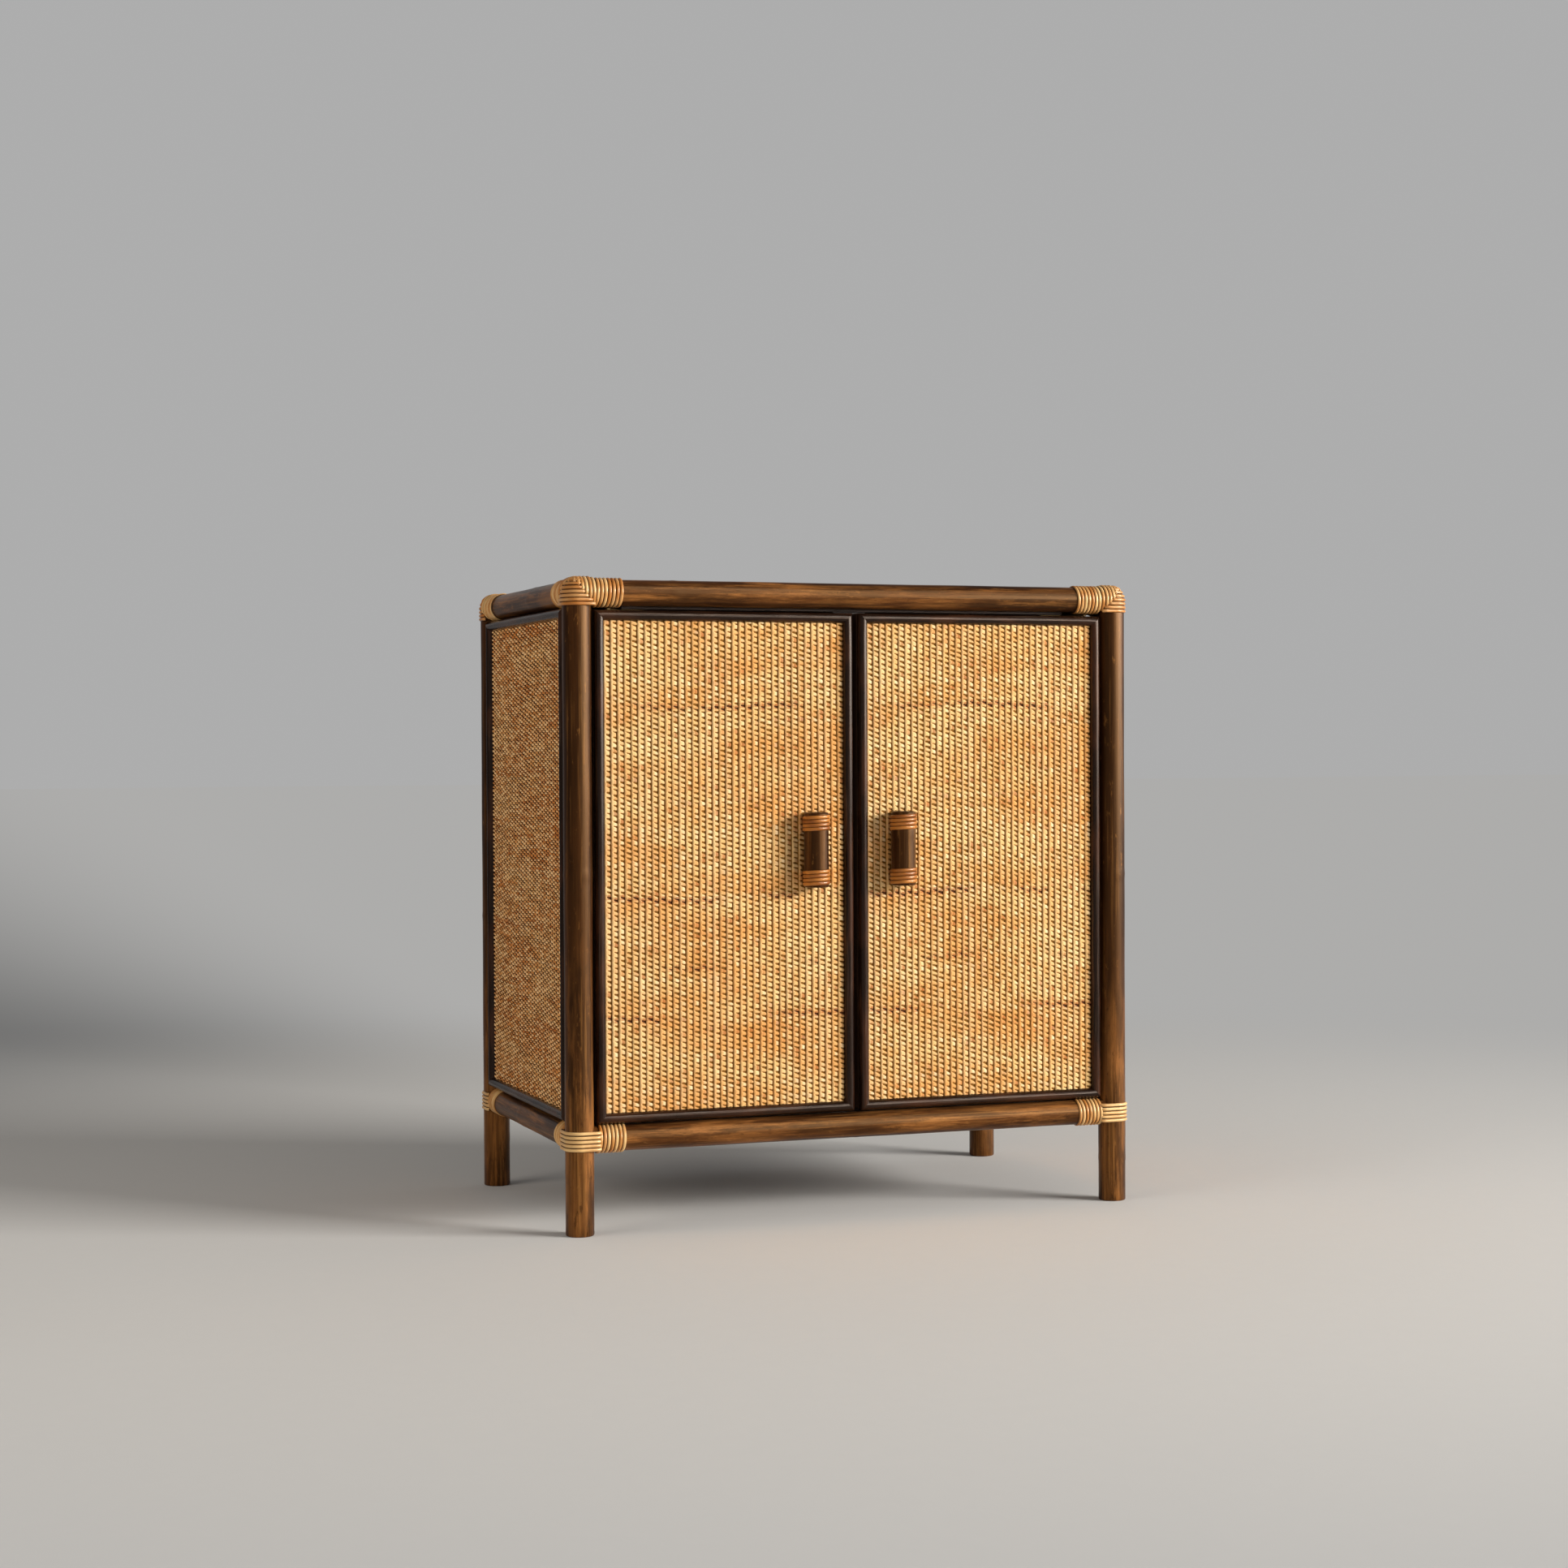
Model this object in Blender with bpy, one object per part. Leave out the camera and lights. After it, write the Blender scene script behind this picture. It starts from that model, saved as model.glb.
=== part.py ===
"""Cane cabinet: a frame of round rattan poles bound with cane at its eight corners,
woven cane panels edged with half-round mouldings, two pivoting doors and a shelf.

Metres, +Z up, the doors face -Y. The origin is on the floor under the middle of the cabinet."""

import math

import bmesh
import bpy
import numpy as np
from mathutils import Euler, Matrix, Vector

# Frame of round poles
cabinet_width = 0.7540
cabinet_depth = 0.4496
cabinet_height = 0.7965
post_diameter = 0.0350
rail_diameter = 0.0320
bottom_rail_height = 0.1164
foot_chamfer = 0.0015
post_head_height = 0.0105
pole_sides = 24
head_steps = 4

# Clearance between pieces that touch, and the overrun of every cut
fit_gap = 0.0003
cut_overrun = 0.0040

# Cane bindings at the corners
strand_width = 0.00435
strand_thickness = 0.0014
strand_pitch = 0.00495
strand_seat = 0.0003
binding_post_gap = 0.0032
binding_turns = 6
ring_points = 8
band_rows = 5
row_turn_setback = 0.0046
strand_end_bend = 0.0010
strand_end_length = 0.00435
strand_hole_radius = 0.0027
strand_hole_offset = 0.0006
strand_hole_spare = 0.0005
# How a strand leaves a ring for a row: shares of the turn, of the rise and of the pitch
lead_shares = ((0.49, 0.15, 0.14), (0.81, 0.60, 0.46), (0.98, 0.96, 1.07))
# Rows that climb over a post's head: shares of a row's reach and of the rail's radius
head_row_shares = ((0.795, 0.856), (0.527, 1.038))
head_row_tilts = (45.0, 62.0)

# Mouldings, woven sheets and boards
trim_width = 0.0130
trim_height = 0.0092
top_trim_height = 0.0074
trim_steps = 8
weave_thickness = 0.0020
panel_ring_clearance = 0.0004
inner_ring_clearance = 0.0006
board_edge = 0.0006
side_board_thickness = 0.0120
side_board_reach = 0.0072
side_board_post_clearance = 0.0005
side_trim_post_distance = 0.0163
side_trim_rise = 0.0012
back_board_thickness = 0.0060
back_board_post_clearance = 0.0006
top_board_thickness = 0.0060
floor_thickness = 0.0120
floor_ring_rise = 0.0001

# Battens that carry the floor and the top
batten_depth = 0.0150
batten_ring_clearance = 0.0040
floor_batten_height = 0.0200
top_batten_rise = 0.0020
top_batten_drop = 0.0008

# Shelf and its battens
shelf_height = 0.4550
shelf_thickness = 0.0120
shelf_front_setback = 0.0118
shelf_side_clearance = 0.0004
shelf_back_clearance = 0.0010
shelf_post_clearance = 0.0010
shelf_batten_height = 0.0180
shelf_batten_width = 0.0120
shelf_batten_setback = 0.0060

# Doors
door_front_setback = 0.0047
door_board_thickness = 0.0160
door_post_clearance = 0.0020
door_middle_gap = 0.0070
door_bottom_clearance = 0.0005
door_top_clearance = 0.0034
door_board_lift = 0.0020

# Door pivots: a plate on the floor, its pin in a bush, and one under the top batten, its pin in a bore
pivot_edge_distance = 0.0190
pivot_depth = 0.0035
pin_diameter = 0.0034
pin_length = 0.0110
pin_clearance = 0.0003
bush_diameter = 0.0060
bush_length = 0.0130
plate_thickness = 0.0014
plate_arm_width = 0.0064
plate_body_distance = 0.0220
plate_body_length = 0.0300
plate_body_width = 0.0130
plate_edge_inset = 0.0010
screw_head_diameter = 0.0060
screw_head_height = 0.0009
screw_places_share = (0.22, 0.78)
round_sides = 16
tip_steps = 6

# Handles: a short pole bound to each door with turns of cane at each end
grip_diameter = 0.0310
grip_length = 0.0930
grip_height = 0.4640
grip_middle_distance = 0.0585
grip_chamfer = 0.0012
wrap_turns = 4
wrap_points = 12
wrap_end_inset = 0.0006
wrap_end_bend = 0.0022
wrap_end_offset = 0.0015
wrap_window_width = 0.0220
wrap_window_clearance = 0.0006

# Door catch under the top batten, and the strikes on the backs of the doors
catch_width = 0.0440
catch_depth = 0.0140
catch_height = 0.0110
strike_width = 0.0150
strike_height = 0.0100
strike_thickness = 0.0010
strike_edge_distance = 0.0030
strike_top_inset = 0.0006

# Colours, roughness and metallic value of each finish
finishes = {
    "stained_rattan": ((0.115, 0.052, 0.024), 0.42, 0.0),
    "honey_cane": ((0.560, 0.270, 0.075), 0.38, 0.0),
    "woven_cane": ((0.600, 0.400, 0.170), 0.50, 0.0),
    "dark_moulding": ((0.050, 0.026, 0.018), 0.35, 0.0),
    "stained_board": ((0.160, 0.085, 0.042), 0.50, 0.0),
    "brass": ((0.600, 0.430, 0.180), 0.30, 1.0),
    "steel": ((0.450, 0.450, 0.450), 0.35, 1.0),
}

# Places that follow from the sizes
post_radius = post_diameter / 2
rail_radius = rail_diameter / 2
grip_radius = grip_diameter / 2
post_x = cabinet_width / 2 - post_radius
post_y = cabinet_depth / 2 - post_radius
top_rail_height = cabinet_height - rail_radius
rail_heights = {"top": top_rail_height, "bottom": bottom_rail_height}

# Reach of the bindings from the poles' axes, and their stretch along a rail from the post's axis
ring_seat = rail_radius + strand_seat
ring_reach = ring_seat + strand_thickness
row_reach = post_radius + strand_seat
ring_step = 360 / ring_points
ring_near = post_radius + binding_post_gap + strand_width / 2
row_turn_start = ring_near - row_turn_setback
ring_far = ring_near + (binding_turns + 1 / 2) * strand_pitch

# Heights and half widths of what stands between the bound rails
panel_bottom = bottom_rail_height + ring_reach + panel_ring_clearance
panel_top = top_rail_height - ring_reach - panel_ring_clearance
floor_top = bottom_rail_height + ring_reach + floor_ring_rise
floor_bottom = floor_top - floor_thickness
inner_half_x = post_x - ring_reach - inner_ring_clearance
inner_half_y = post_y - ring_reach - inner_ring_clearance

# Battens and the board that lies on the upper ones
batten_half_length = post_x - ring_far - strand_width / 2 - batten_ring_clearance
batten_front = -(post_y - rail_radius - fit_gap)
top_batten_top = top_rail_height + top_batten_rise
top_batten_bottom = panel_top - top_batten_drop
top_board_bottom = top_batten_top + fit_gap
top_weave_base = top_board_bottom + top_board_thickness + fit_gap

# Side and back panels
side_board_outer = post_x + side_board_reach
side_board_inner = side_board_outer - side_board_thickness
side_board_half_y = post_y - post_radius - side_board_post_clearance
side_trim_half_y = post_y - side_trim_post_distance
back_board_inner = post_y - back_board_thickness
back_half_x = post_x - post_radius - back_board_post_clearance

# Planes and edges of a door
door_trim_base = -(post_y + post_radius) + door_front_setback + trim_height
door_weave_front = door_trim_base - weave_thickness
door_board_front = door_trim_base + fit_gap
door_board_back = door_board_front + door_board_thickness
door_outer = post_x - post_radius - door_post_clearance
door_inner = door_middle_gap / 2
door_bottom = bottom_rail_height + ring_reach + door_bottom_clearance
door_top = top_rail_height - ring_reach - door_top_clearance
door_board_bottom = door_bottom + door_board_lift
door_middle_x = (door_outer + door_inner) / 2
door_middle_z = (door_top + door_bottom) / 2
pivot_x = door_outer - pivot_edge_distance
pivot_y = door_board_front + pivot_depth
grip_y = door_weave_front - fit_gap - grip_radius

materials = {}


def clear_scene():
    for item in list(bpy.data.objects):
        bpy.data.objects.remove(item, do_unlink=True)


def finish(name):
    if name not in materials:
        colour, roughness, metallic = finishes[name]
        material = bpy.data.materials.new(name)
        material.use_nodes = True
        shader = material.node_tree.nodes["Principled BSDF"]
        shader.inputs["Base Color"].default_value = (*colour, 1)
        shader.inputs["Roughness"].default_value = roughness
        shader.inputs["Metallic"].default_value = metallic
        material.diffuse_color = (*colour, 1)
        materials[name] = material
    return materials[name]


def add_object(name, shape, finish_name, place=(0, 0, 0), turn=(0, 0, 0), parent=None, smooth=False):
    """Link a bmesh as an object at a world place, under a parent empty if one is given."""
    bmesh.ops.recalc_face_normals(shape, faces=shape.faces)
    mesh = bpy.data.meshes.new(name)
    shape.to_mesh(mesh)
    shape.free()
    if smooth:
        mesh.shade_smooth()
        mesh.set_sharp_from_angle(angle=math.radians(35))
    mesh.materials.append(finish(finish_name))
    item = bpy.data.objects.new(name, mesh)
    bpy.context.collection.objects.link(item)
    item.location = Vector(place)
    if parent:
        item.parent = parent
        item.location = Vector(place) - parent.location
    item.rotation_euler = [math.radians(angle) for angle in turn]
    return item


def solid(vertices, faces):
    shape = bmesh.new()
    corners = [shape.verts.new(vertex) for vertex in vertices]
    for face in faces:
        shape.faces.new([corners[index] for index in face])
    return shape


def turned(profile, sides):
    """A turned solid about Z; a profile is (radius, height) pairs, and a zero radius ends in a point."""
    vertices = []
    rings = []
    for radius, height in profile:
        count = sides if radius > 0 else 1
        rings.append(range(len(vertices), len(vertices) + count))
        for index in range(count):
            angle = 2 * math.pi * index / sides
            vertices.append((radius * math.cos(angle), radius * math.sin(angle), height))
    faces = []
    for lower, upper in zip(rings, rings[1:]):
        for index in range(sides):
            after = (index + 1) % sides
            if len(upper) == 1:
                faces.append((lower[index], lower[after], upper[0]))
            else:
                faces.append((lower[index], lower[after], upper[after], upper[index]))
    faces.append(tuple(reversed(rings[0])))
    if len(rings[-1]) > 1:
        faces.append(tuple(rings[-1]))
    return solid(vertices, faces)


def pole(radius, length, chamfer):
    """A round pole along Z, centred, with a chamfer at both ends."""
    half = length / 2
    profile = [(radius - chamfer, -half), (radius, chamfer - half), (radius, half - chamfer)]
    profile.append((radius - chamfer, half))
    return turned(profile, pole_sides)


def rod(radius, length, sides):
    half = length / 2
    return turned([(radius, -half), (radius, half)], sides)


def block(width, depth, height):
    shape = bmesh.new()
    bmesh.ops.create_cube(shape, size=1)
    bmesh.ops.scale(shape, vec=(width, depth, height), verts=shape.verts)
    return shape


def prism(outline, thickness):
    """An outline in X and Y, extruded up from Z = 0."""
    count = len(outline)
    vertices = [(x, y, 0) for x, y in outline] + [(x, y, thickness) for x, y in outline]
    faces = [tuple(reversed(range(count))), tuple(range(count, 2 * count))]
    for index in range(count):
        after = (index + 1) % count
        faces.append((index, after, count + after, count + index))
    return solid(vertices, faces)


def add_board(name, low, high, finish_name, parent=None, edge=board_edge):
    """A board between two corners, with its edges eased."""
    size = Vector(high) - Vector(low)
    middle = (Vector(high) + Vector(low)) / 2
    item = add_object(name, block(*size), finish_name, middle, parent=parent)
    if edge:
        bevel = item.modifiers.new("Eased edges", "BEVEL")
        bevel.width = edge
        bevel.segments = 1
    return item


def add_cutter(name, shape, place, turn=(0, 0, 0), parent=None):
    item = add_object(name, shape, "steel", place, turn, parent)
    item.hide_render = True
    item.display_type = "WIRE"
    return item


def add_cutter_set(name, shapes, parent=None):
    """One cutter made of shapes that stay clear of each other, each with its place and turn."""
    whole = bmesh.new()
    for shape, place, turn in shapes:
        bmesh.ops.recalc_face_normals(shape, faces=shape.faces)
        rotation = Euler([math.radians(angle) for angle in turn])
        shape.transform(Matrix.LocRotScale(Vector(place), rotation, None))
        mesh = bpy.data.meshes.new(name)
        shape.to_mesh(mesh)
        shape.free()
        whole.from_mesh(mesh)
        bpy.data.meshes.remove(mesh)
    return add_cutter(name, whole, (0, 0, 0), parent=parent)


def combine(item, other, operation="DIFFERENCE"):
    modifier = item.modifiers.new(operation.title(), "BOOLEAN")
    modifier.operation = operation
    modifier.solver = "EXACT"
    modifier.object = other


def add_moulding(name, half_width, half_height, height, place, turn, parent=None):
    """Four half-round lengths mitred into a frame that lies in X and Y and stands up along Z."""
    vertices = []
    for step in range(trim_steps + 1):
        angle = math.pi * step / trim_steps
        inset = trim_width / 2 * (1 - math.cos(angle))
        rise = height * math.sin(angle)
        for side_x, side_y in ((-1, -1), (1, -1), (1, 1), (-1, 1)):
            vertices.append((side_x * (half_width - inset), side_y * (half_height - inset), rise))
    faces = []
    rows = trim_steps + 1
    for step in range(rows):
        here = 4 * step
        there = 4 * ((step + 1) % rows)
        for corner in range(4):
            after = (corner + 1) % 4
            faces.append((here + corner, here + after, there + after, there + corner))
    shape = solid(vertices, faces)
    return add_object(name, shape, "dark_moulding", place, turn, parent, smooth=True)


def unit(vector):
    return vector / np.linalg.norm(vector)


def strand_sections(path, normals):
    """Three-cornered sections along a path: two corners on the pole, one at the strand's crown."""
    path = np.array(path)
    directions = [unit(after - before) for before, after in zip(path, path[1:])]
    sections = []
    for index, point in enumerate(path):
        before = directions[max(index - 1, 0)]
        after = directions[min(index, len(directions) - 1)]
        along = unit(before + after)
        normal = np.array(normals[index])
        normal = unit(normal - along * normal.dot(along))
        side = np.cross(along, normal)
        stretch = 1 / along.dot(after) - 1
        bend = after - before
        corners = []
        for across, up in ((-strand_width / 2, 0), (strand_width / 2, 0), (0, strand_thickness)):
            offset = side * across + normal * up
            if stretch > 0 and np.linalg.norm(bend) > 0:
                offset = offset + unit(bend) * offset.dot(unit(bend)) * stretch
            corners.append(point + offset)
        sections.append(corners)
    return np.array(sections)


def least_gap(sections):
    """Least distance between stretches of a strand that are not next to each other."""
    steps = np.linspace(0, 1, 6, endpoint=False)[:, None, None]
    points = np.concatenate([start + (end - start) * steps for start, end in zip(sections, sections[1:])])
    middle = points[:, :2].mean(axis=1)
    travelled = np.append(0, np.cumsum(np.linalg.norm(np.diff(middle, axis=0), axis=1)))
    least = math.inf
    for index in range(len(points)):
        apart = travelled - travelled[index] > 2 * strand_width
        if apart.any():
            others = points[apart].reshape(-1, 3)
            for corner in points[index]:
                least = min(least, np.linalg.norm(others - corner, axis=1).min())
    return least


def add_strand(name, path, normals, parent=None):
    sections = strand_sections(path, normals)
    print(f"{name}: least gap between its turns {least_gap(sections) * 1000:.2f} mm")
    origin = np.array(parent.location) if parent else np.zeros(3)
    vertices = (sections - origin).reshape(-1, 3).tolist()
    faces = [(0, 1, 2), (len(vertices) - 3, len(vertices) - 1, len(vertices) - 2)]
    for start in range(0, len(vertices) - 3, 3):
        for corner in range(3):
            after = (corner + 1) % 3
            faces.append((start + corner, start + 3 + corner, start + 3 + after, start + after))
    shape = solid(vertices, faces)
    bmesh.ops.triangulate(shape, faces=shape.faces)
    place = parent.location if parent else (0, 0, 0)
    return add_object(name, shape, "honey_cane", place, parent=parent)


def on_rail(rail, angle, along, reach):
    """A place round a rail and its outward direction; 0 degrees faces out of the cabinet, 90 up."""
    out = reach * math.cos(math.radians(angle))
    up = reach * math.sin(math.radians(angle))
    if rail == "front":
        return (along, -out, up)
    return (-out, along, up)


def ring_stretch(rail, first_angle, last_angle, first_along, last_along):
    """Corners of the turns round a rail, from one angle to another."""
    path = []
    normals = []
    count = round((last_angle - first_angle) / ring_step)
    for index in range(count + 1):
        share = index / count
        angle = first_angle + (last_angle - first_angle) * share
        along = first_along + (last_along - first_along) * share
        path.append(on_rail(rail, angle, along, ring_seat / math.cos(math.radians(ring_step / 2))))
        normals.append(on_rail(rail, angle, 0, 1))
    return path, normals


def end_stretch(rail, along, upward):
    """The strand's end: it turns in through the pole's inner side and runs straight."""
    root = ring_seat - strand_end_bend
    path = []
    normals = []
    for turn in (0, 45, 90):
        sine = math.sin(math.radians(turn))
        cosine = math.cos(math.radians(turn))
        inward = -(root + strand_end_bend * sine)
        level = -upward * strand_end_bend * (1 - cosine)
        path.append((along, -inward, level) if rail == "front" else (-inward, along, level))
        normals.append((0, sine, upward * cosine) if rail == "front" else (sine, 0, upward * cosine))
    tip = root - strand_end_length
    path.insert(0, (along, tip, 0) if rail == "front" else (tip, along, 0))
    normals.insert(0, (0, 0, upward))
    return path, normals


def lead_stretch(rail, ring_angle, row_out, row_up):
    """Points from a ring's last corner to a row on the post."""
    row_angle = math.degrees(math.atan2(row_up, row_out))
    row_radius = math.hypot(row_out, row_up)
    ring_radius = ring_seat / math.cos(math.radians(ring_step / 2))
    path = []
    normals = []
    for turn_share, rise_share, pitch_share in lead_shares:
        angle = ring_angle + (row_angle - ring_angle) * turn_share
        radius = ring_radius + (row_radius - ring_radius) * rise_share
        path.append(on_rail(rail, angle, ring_near - pitch_share * strand_pitch, radius))
        normals.append(on_rail(rail, angle * (1 - rise_share / 2), 0, 1))
    return path, normals


def band_of_rows(end):
    """Reach from the post's axis, height from the rail's axis and tilt of each row of a corner."""
    rows = []
    for index in range(band_rows):
        rows.append((row_reach, (index - (band_rows - 1) / 2) * strand_pitch, 0))
    if end == "top":
        for (reach_share, height_share), tilt in zip(head_row_shares, head_row_tilts):
            rows.append((row_reach * reach_share, rail_radius * height_share, tilt))
    return rows


def row_corners(row, towards_side):
    reach, height, tilt = row
    short = reach * math.tan(math.radians(22.5))
    flat = math.cos(math.radians(tilt))
    rise = math.sin(math.radians(tilt))
    path = [(-short, -reach, height), (-reach, -short, height)]
    normals = []
    for angle in (22.5, 67.5):
        outward_u = -flat * math.sin(math.radians(angle))
        outward_v = -flat * math.cos(math.radians(angle))
        normals.append((outward_u, outward_v, rise))
    if not towards_side:
        path.reverse()
        normals.reverse()
    return path, normals


def row_turn(row, next_row, rail):
    """The hairpin between two rows, beside the first ring on a rail."""
    half = math.hypot(next_row[0] - row[0], next_row[1] - row[1]) / 2
    path = []
    normals = []
    for angle in (30, 90, 150):
        share = (1 - math.cos(math.radians(angle)) / math.cos(math.radians(30))) / 2
        reach = row[0] + (next_row[0] - row[0]) * share
        height = row[1] + (next_row[1] - row[1]) * share
        tilt = math.radians(row[2] + (next_row[2] - row[2]) * share)
        along = row_turn_start + half * math.sin(math.radians(angle)) / math.cos(math.radians(30))
        path.append((along, -reach, height) if rail == "front" else (-reach, along, height))
        outward = -math.cos(tilt)
        normals.append((0, outward, math.sin(tilt)) if rail == "front" else (outward, 0, math.sin(tilt)))
    return path, normals


def binding_path(end):
    """One strand: turns on the front or rear rail, rows round the post, turns on the side rail."""
    half_step = ring_step / 2
    first_angle = 180 + half_step
    last_angle = 360 * (binding_turns + 1) - 3 * half_step
    far_front = ring_near + (last_angle - 180) / 360 * strand_pitch
    first_along = far_front - half_step / 360 * strand_pitch
    rows = band_of_rows(end)
    pieces = [end_stretch("front", far_front, 1)]
    pieces.append(ring_stretch("front", first_angle, last_angle, first_along, ring_near))
    pieces.append(lead_stretch("front", -3 * half_step, rows[0][0], rows[0][1]))
    for index, row in enumerate(rows):
        towards_side = index % 2 == 0
        pieces.append(row_corners(row, towards_side))
        if index < len(rows) - 1:
            pieces.append(row_turn(row, rows[index + 1], "side" if towards_side else "front"))
    start_angle = 5 * half_step if end == "top" else 3 * half_step
    stop_angle = 180 - half_step + 360 * binding_turns
    lead_path, lead_normals = lead_stretch("side", start_angle, rows[-1][0], rows[-1][1])
    pieces.append((lead_path[::-1], lead_normals[::-1]))
    far_side = ring_near + (stop_angle + half_step - start_angle) / 360 * strand_pitch
    last_along = far_side - half_step / 360 * strand_pitch
    pieces.append(ring_stretch("side", start_angle, stop_angle, ring_near, last_along))
    end_path, end_normals = end_stretch("side", far_side, -1)
    pieces.append((end_path[::-1], end_normals[::-1]))
    path = [point for piece in pieces for point in piece[0]]
    normals = [normal for piece in pieces for normal in piece[1]]
    return path, normals, far_front, far_side


def add_rail(name, length, place, turn):
    shape = rod(rail_radius, length, pole_sides)
    return add_object(name, shape, "stained_rattan", place, turn, smooth=True)


def post_cope(side_x, side_y):
    shape = rod(post_radius + fit_gap, cabinet_height + 2 * cut_overrun, pole_sides)
    return shape, (side_x * post_x, side_y * post_y, cabinet_height / 2), (0, 0, 0)


def add_frame():
    """Four posts, eight rails coped to them, and the bindings with the holes for their ends."""
    seat_length = post_radius + cut_overrun
    hole_length = strand_end_length + strand_hole_spare + cut_overrun
    hole_middle = ring_seat - strand_end_bend - strand_end_length - strand_hole_spare + hole_length / 2
    head = []
    for step in range(1, head_steps + 1):
        angle = math.pi / 2 * step / head_steps
        height = cabinet_height - post_head_height * (1 - math.sin(angle))
        head.append((post_radius * math.cos(angle) if step < head_steps else 0, height))
    profile = [(post_radius - foot_chamfer, 0), (post_radius, foot_chamfer)]
    profile.append((post_radius, cabinet_height - post_head_height))
    for name, side_x, side_y in corners:
        place = (side_x * post_x, side_y * post_y, 0)
        add_object(f"post_{name}", turned(profile + head, pole_sides), "stained_rattan", place, smooth=True)
    for end, level in rail_heights.items():
        path, normals, far_front, far_side = binding_path(end)
        for name, side_y in (("front", -1), ("rear", 1)):
            place = (0, side_y * post_y, level)
            rail = add_rail(f"rail_{end}_{name}", 2 * post_x, place, (0, 90, 0))
            cuts = []
            for side_x in (-1, 1):
                cuts.append(post_cope(side_x, side_y))
                hole_x = side_x * (post_x - far_front)
                hole_y = side_y * (post_y - hole_middle)
                hole = rod(strand_hole_radius, hole_length, round_sides)
                cuts.append((hole, (hole_x, hole_y, level + strand_hole_offset), (90, 0, 0)))
            combine(rail, add_cutter_set(f"cuts_{end}_{name}", cuts))
        for name, side_x in (("left", -1), ("right", 1)):
            place = (side_x * post_x, 0, level)
            rail = add_rail(f"rail_{end}_{name}", 2 * post_y, place, (90, 0, 0))
            cuts = []
            seats = []
            for side_y in (-1, 1):
                cuts.append(post_cope(side_x, side_y))
                hole_x = side_x * (post_x - hole_middle)
                hole_y = side_y * (post_y - far_side)
                hole = rod(strand_hole_radius, hole_length, round_sides)
                cuts.append((hole, (hole_x, hole_y, level - strand_hole_offset), (0, 90, 0)))
                seat = rod(rail_radius + fit_gap, seat_length, pole_sides)
                seat_x = side_x * (post_x - seat_length / 2)
                seats.append((seat, (seat_x, side_y * post_y, level), (0, 90, 0)))
            combine(rail, add_cutter_set(f"cuts_{end}_{name}", cuts))
            combine(rail, add_cutter_set(f"seats_{end}_{name}", seats))
        for name, side_x, side_y in corners:
            corner_path = []
            corner_normals = []
            for (u, v, z), (normal_u, normal_v, normal_z) in zip(path, normals):
                corner_path.append((side_x * (post_x - u), side_y * (post_y - v), level + z))
                corner_normals.append((-side_x * normal_u, -side_y * normal_v, normal_z))
            add_strand(f"binding_{end}_{name}", corner_path, corner_normals)


def add_side_panels():
    """Board, woven sheet and moulding between the posts of each side."""
    trim_bottom = panel_bottom + side_trim_rise
    middle_z = (panel_top + trim_bottom) / 2
    half_z = (panel_top - trim_bottom) / 2
    hidden = trim_width + fit_gap
    for name, side in (("left", -1), ("right", 1)):
        spans = sorted((side * side_board_inner, side * side_board_outer))
        low = (spans[0], -side_board_half_y, panel_bottom)
        high = (spans[1], side_board_half_y, panel_top)
        add_board(f"side_board_{name}", low, high, "stained_board")
        base = side_board_outer + fit_gap
        spans = sorted((side * base, side * (base + weave_thickness)))
        low = (spans[0], hidden - side_trim_half_y, trim_bottom + hidden)
        high = (spans[1], side_trim_half_y - hidden, panel_top - hidden)
        add_board(f"side_weave_{name}", low, high, "woven_cane", edge=0)
        place = (side * base, 0, middle_z)
        add_moulding(f"side_trim_{name}", side_trim_half_y, half_z, trim_height, place, (90, 0, 90 * side))


def add_back():
    low = (-back_half_x, back_board_inner, panel_bottom)
    high = (back_half_x, post_y, panel_top)
    add_board("back_board", low, high, "stained_board")
    place = (0, post_y + fit_gap, (panel_top + panel_bottom) / 2)
    half_z = (panel_top - panel_bottom) / 2
    add_moulding("back_trim", back_half_x, half_z, trim_height, place, (90, 0, 180))


def add_top():
    low = (-inner_half_x, -inner_half_y, top_board_bottom)
    high = (inner_half_x, inner_half_y, top_board_bottom + top_board_thickness)
    add_board("top_board", low, high, "stained_board")
    hidden = trim_width + fit_gap
    low = (hidden - inner_half_x, hidden - inner_half_y, top_weave_base)
    high = (inner_half_x - hidden, inner_half_y - hidden, top_weave_base + weave_thickness)
    add_board("top_weave", low, high, "woven_cane", edge=0)
    add_moulding("top_trim", inner_half_x, inner_half_y, top_trim_height, (0, 0, top_weave_base), (0, 0, 0))


def add_floor_and_battens():
    low = (-inner_half_x, -inner_half_y, floor_bottom)
    high = (inner_half_x, inner_half_y, floor_top)
    add_board("floor_board", low, high, "stained_board")
    floor_batten_top = floor_bottom - fit_gap
    levels = {
        "floor": (floor_batten_top - floor_batten_height, floor_batten_top),
        "top": (top_batten_bottom, top_batten_top),
    }
    for level, (bottom, top) in levels.items():
        for name, side in (("front", 1), ("rear", -1)):
            spans = sorted((side * batten_front, side * (batten_front + batten_depth)))
            low = (-batten_half_length, spans[0], bottom)
            high = (batten_half_length, spans[1], top)
            add_board(f"{level}_batten_{name}", low, high, "stained_board")


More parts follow.
